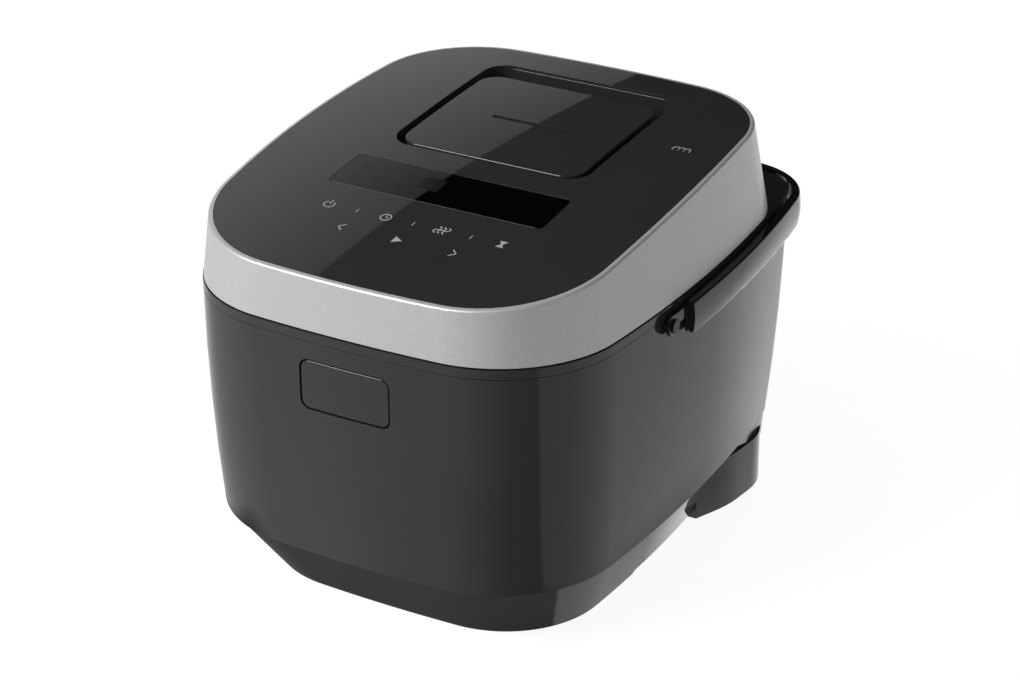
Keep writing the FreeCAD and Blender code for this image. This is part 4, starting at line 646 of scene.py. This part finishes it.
steam_black = moulded_plastic("steam_black", colour=(0.0195, 0.0195, 0.0195), roughness=0.018,
                              grain_scale=90.0, grain_depth=0.0003 * MM)
dress("vent_tray", steam_black, edge=0.4 * MM)
follow_bow(dress("steam_cap", steam_black, edge=0.25 * MM))
dress("steam_cap_base", steam_black)
bpy.data.objects.remove(bow)

# Studio: a white floor, a soft key light from the front left, and a long soft card behind on the
# left whose straight edge shows in the lid. The card and the floor's painted grades of light and shade are seen
# in gloss only.

CAMERA_PLACE = Vector((0.7421, -1.2895, 0.8388))
CAMERA_TARGET = Vector((0.01276, -0.0163, 0.12065))
LENS = 100.04
SENSOR = 36.0
camera_data = bpy.data.cameras.new("camera")
camera_data.lens = LENS
camera_data.sensor_width = SENSOR
camera = bpy.data.objects.new("camera", camera_data)
camera.location = CAMERA_PLACE
camera.rotation_euler = (CAMERA_TARGET - CAMERA_PLACE).to_track_quat("-Z", "Y").to_euler()
bpy.context.scene.collection.objects.link(camera)
bpy.context.scene.camera = camera

FLOOR_SIZE = 30.0
FLOOR_PALE = (0.85, 0.85, 0.85, 1.0)
SHADOW_SHARE = 0.16
FLOOR_GLOW = 1.1
# In gloss the floor shows painted light: grades of brightness round the cooker's front corner, with one dark
# band.
CORNER_CENTRE = Vector((0.056, -0.098, 0.0))
FAR_LEVELS = ((0.0, 0.55), (0.09, 0.77), (0.13, 0.74), (0.18, 0.47), (0.25, 0.46), (0.355, 0.16),
              (0.412, 0.14), (0.416, 0.46), (0.48, 0.54), (0.54, 0.68), (0.68, 0.7), (0.71, 1.1),
              (0.8, 1.2), (1.0, 0.55))
# Close round the foot the floor's gloss is painted darker: painted shade where the cooker's own shadow would
# fall on the floor.
NEAR_LEVELS = ((0.0, 0.12), (0.46, 0.12), (0.468, 0.42), (0.66, 0.42), (0.72, 1.2), (0.8, 1.2),
               (0.86, 0.12), (1.0, 0.12))
FOOT_CENTRE = Vector((0.0, -0.008, 0.0))
FOOT_HALF = (0.122, 0.15, 0.0)
NO_LENGTH = (0.0, 0.0, 0.0)
NEAR_REACH = 0.02
FAR_REACH = 0.045
NEW_STOP = 0.5


def add_levels(tree, levels):
    """A ramp of greys, each given by where it stands and how bright it is."""
    ramp = add_node(tree, "ShaderNodeValToRGB")
    stops = ramp.color_ramp.elements
    while len(stops) < len(levels):
        stops.new(NEW_STOP)
    for stop, (where, level) in zip(stops, levels):
        stop.position = where
        stop.color = (level, level, level, 1.0)
    return ramp


def add_plain_sight(tree, rays):
    """One where a ray comes from the camera, straight or through something clear."""
    plain_sight = add_node(tree, "ShaderNodeMath", operation="MAXIMUM")
    tree.links.new(rays.outputs["Is Camera Ray"], plain_sight.inputs[0])
    tree.links.new(rays.outputs["Is Transmission Ray"], plain_sight.inputs[1])
    return plain_sight.outputs["Value"]


bpy.ops.object.select_all(action="DESELECT")
bpy.ops.mesh.primitive_plane_add(size=FLOOR_SIZE)
floor = bpy.context.active_object
floor.name = "floor"
floor_white = bpy.data.materials.new("floor_white")
floor_white.use_nodes = True
tree = floor_white.node_tree
tree.nodes.remove(tree.nodes["Principled BSDF"])
rays = add_node(tree, "ShaderNodeLightPath")
pale = add_node(tree, "ShaderNodeBsdfDiffuse", Color=FLOOR_PALE)
white = add_node(tree, "ShaderNodeEmission", Strength=FLOOR_GLOW)
seen = add_node(tree, "ShaderNodeMixShader", Fac=SHADOW_SHARE)
tree.links.new(white.outputs["Emission"], seen.inputs[1])
tree.links.new(pale.outputs["BSDF"], seen.inputs[2])
place = add_node(tree, "ShaderNodeTexCoord")
centred = add_node(tree, "ShaderNodeMapping")
centred.inputs["Location"].default_value = -CORNER_CENTRE
turn = add_node(tree, "ShaderNodeTexGradient", gradient_type="RADIAL")
tree.links.new(place.outputs["Object"], centred.inputs["Vector"])
tree.links.new(centred.outputs["Vector"], turn.inputs["Vector"])
far = add_levels(tree, FAR_LEVELS)
near = add_levels(tree, NEAR_LEVELS)
tree.links.new(turn.outputs["Fac"], far.inputs["Fac"])
tree.links.new(turn.outputs["Fac"], near.inputs["Fac"])
reach = place.outputs["Object"]
for operation, operand in (("SUBTRACT", FOOT_CENTRE), ("ABSOLUTE", None), ("SUBTRACT", FOOT_HALF),
                           ("MAXIMUM", NO_LENGTH), ("LENGTH", None)):
    step = add_node(tree, "ShaderNodeVectorMath", operation=operation)
    tree.links.new(reach, step.inputs[0])
    if operand:
        step.inputs[1].default_value = operand
    reach = step.outputs["Value" if operation == "LENGTH" else "Vector"]
away = add_node(tree, "ShaderNodeMapRange")
away.inputs["From Min"].default_value = NEAR_REACH
away.inputs["From Max"].default_value = FAR_REACH
glossed = add_node(tree, "ShaderNodeMixRGB")
tree.links.new(reach, away.inputs["Value"])
tree.links.new(away.outputs["Result"], glossed.inputs["Fac"])
tree.links.new(near.outputs["Color"], glossed.inputs["Color1"])
tree.links.new(far.outputs["Color"], glossed.inputs["Color2"])
mirrored = add_node(tree, "ShaderNodeEmission")
unseen = add_node(tree, "ShaderNodeMixShader")
both = add_node(tree, "ShaderNodeMixShader")
tree.links.new(glossed.outputs["Color"], mirrored.inputs["Color"])
tree.links.new(rays.outputs["Is Glossy Ray"], unseen.inputs[0])
tree.links.new(pale.outputs["BSDF"], unseen.inputs[1])
tree.links.new(mirrored.outputs["Emission"], unseen.inputs[2])
tree.links.new(add_plain_sight(tree, rays), both.inputs[0])
tree.links.new(unseen.outputs["Shader"], both.inputs[1])
tree.links.new(seen.outputs["Shader"], both.inputs[2])
tree.links.new(both.outputs["Shader"], tree.nodes["Material Output"].inputs["Surface"])
paint(floor, floor_white)

FILL_LEVEL = 0.45
GLOSS_LEVEL = 0.006
SEEN_LEVEL = 1.0
world = bpy.data.worlds.new("studio")
bpy.context.scene.world = world
world.use_nodes = True
tree = world.node_tree
rays = add_node(tree, "ShaderNodeLightPath")
fill = add_node(tree, "ShaderNodeMix", data_type="FLOAT")
fill.inputs["A"].default_value = FILL_LEVEL
fill.inputs["B"].default_value = GLOSS_LEVEL
level = add_node(tree, "ShaderNodeMix", data_type="FLOAT")
level.inputs["B"].default_value = SEEN_LEVEL
tree.links.new(rays.outputs["Is Glossy Ray"], fill.inputs["Factor"])
tree.links.new(fill.outputs["Result"], level.inputs["A"])
tree.links.new(add_plain_sight(tree, rays), level.inputs["Factor"])
background = tree.nodes["Background"]
background.inputs["Color"].default_value = (1.0, 1.0, 1.0, 1.0)
tree.links.new(level.outputs["Result"], background.inputs["Strength"])

CARD_EDGE_POINT = Vector((-0.9, 1.2, 1.26))
CARD_LEAN = math.radians(33.6)
CARD_LENGTH = 2.6
CARD_WIDTH = 1.4
CARD_LEVELS = ((0.0, 0.66), (0.857, 0.7), (1.0, 0.24))
CARD_HALF = 0.5
bpy.ops.object.select_all(action="DESELECT")
bpy.ops.mesh.primitive_plane_add(size=1.0)
card = bpy.context.active_object
card.name = "rear_card"
card.visible_camera = False
card.visible_diffuse = False
card.visible_shadow = False
card_glow = bpy.data.materials.new("rear_card")
card_glow.use_nodes = True
tree = card_glow.node_tree
tree.nodes.remove(tree.nodes["Principled BSDF"])
place = add_node(tree, "ShaderNodeTexCoord")
split = add_node(tree, "ShaderNodeSeparateXYZ")
across = add_node(tree, "ShaderNodeMath", operation="ADD")
across.inputs[1].default_value = CARD_HALF
grades = add_levels(tree, CARD_LEVELS)
glow = add_node(tree, "ShaderNodeEmission")
tree.links.new(place.outputs["Object"], split.inputs["Vector"])
tree.links.new(split.outputs["X"], across.inputs[0])
tree.links.new(across.outputs["Value"], grades.inputs["Fac"])
tree.links.new(grades.outputs["Color"], glow.inputs["Color"])
tree.links.new(glow.outputs["Emission"], tree.nodes["Material Output"].inputs["Surface"])
paint(card, card_glow)
across_card = Vector((math.cos(CARD_LEAN), 0.0, math.sin(CARD_LEAN)))
card.scale = (CARD_WIDTH, CARD_LENGTH, 1.0)
card.rotation_euler = (math.pi / 2, -CARD_LEAN, 0.0)
card.location = CARD_EDGE_POINT - across_card * (CARD_WIDTH / 2)

KEY_PLACE = Vector((-1.0, -1.5, 1.5))
KEY_SIZE = 1.2
KEY_POWER = 60.0
key_data = bpy.data.lights.new("key_light", "AREA")
key_data.size = KEY_SIZE
key_data.energy = KEY_POWER
key = bpy.data.objects.new("key_light", key_data)
key.location = KEY_PLACE
key.rotation_euler = (CAMERA_TARGET - KEY_PLACE).to_track_quat("-Z", "Y").to_euler()
bpy.context.scene.collection.objects.link(key)

bpy.context.scene.view_settings.view_transform = "Standard"

# Bring the scene up to date.

bpy.context.view_layer.update()
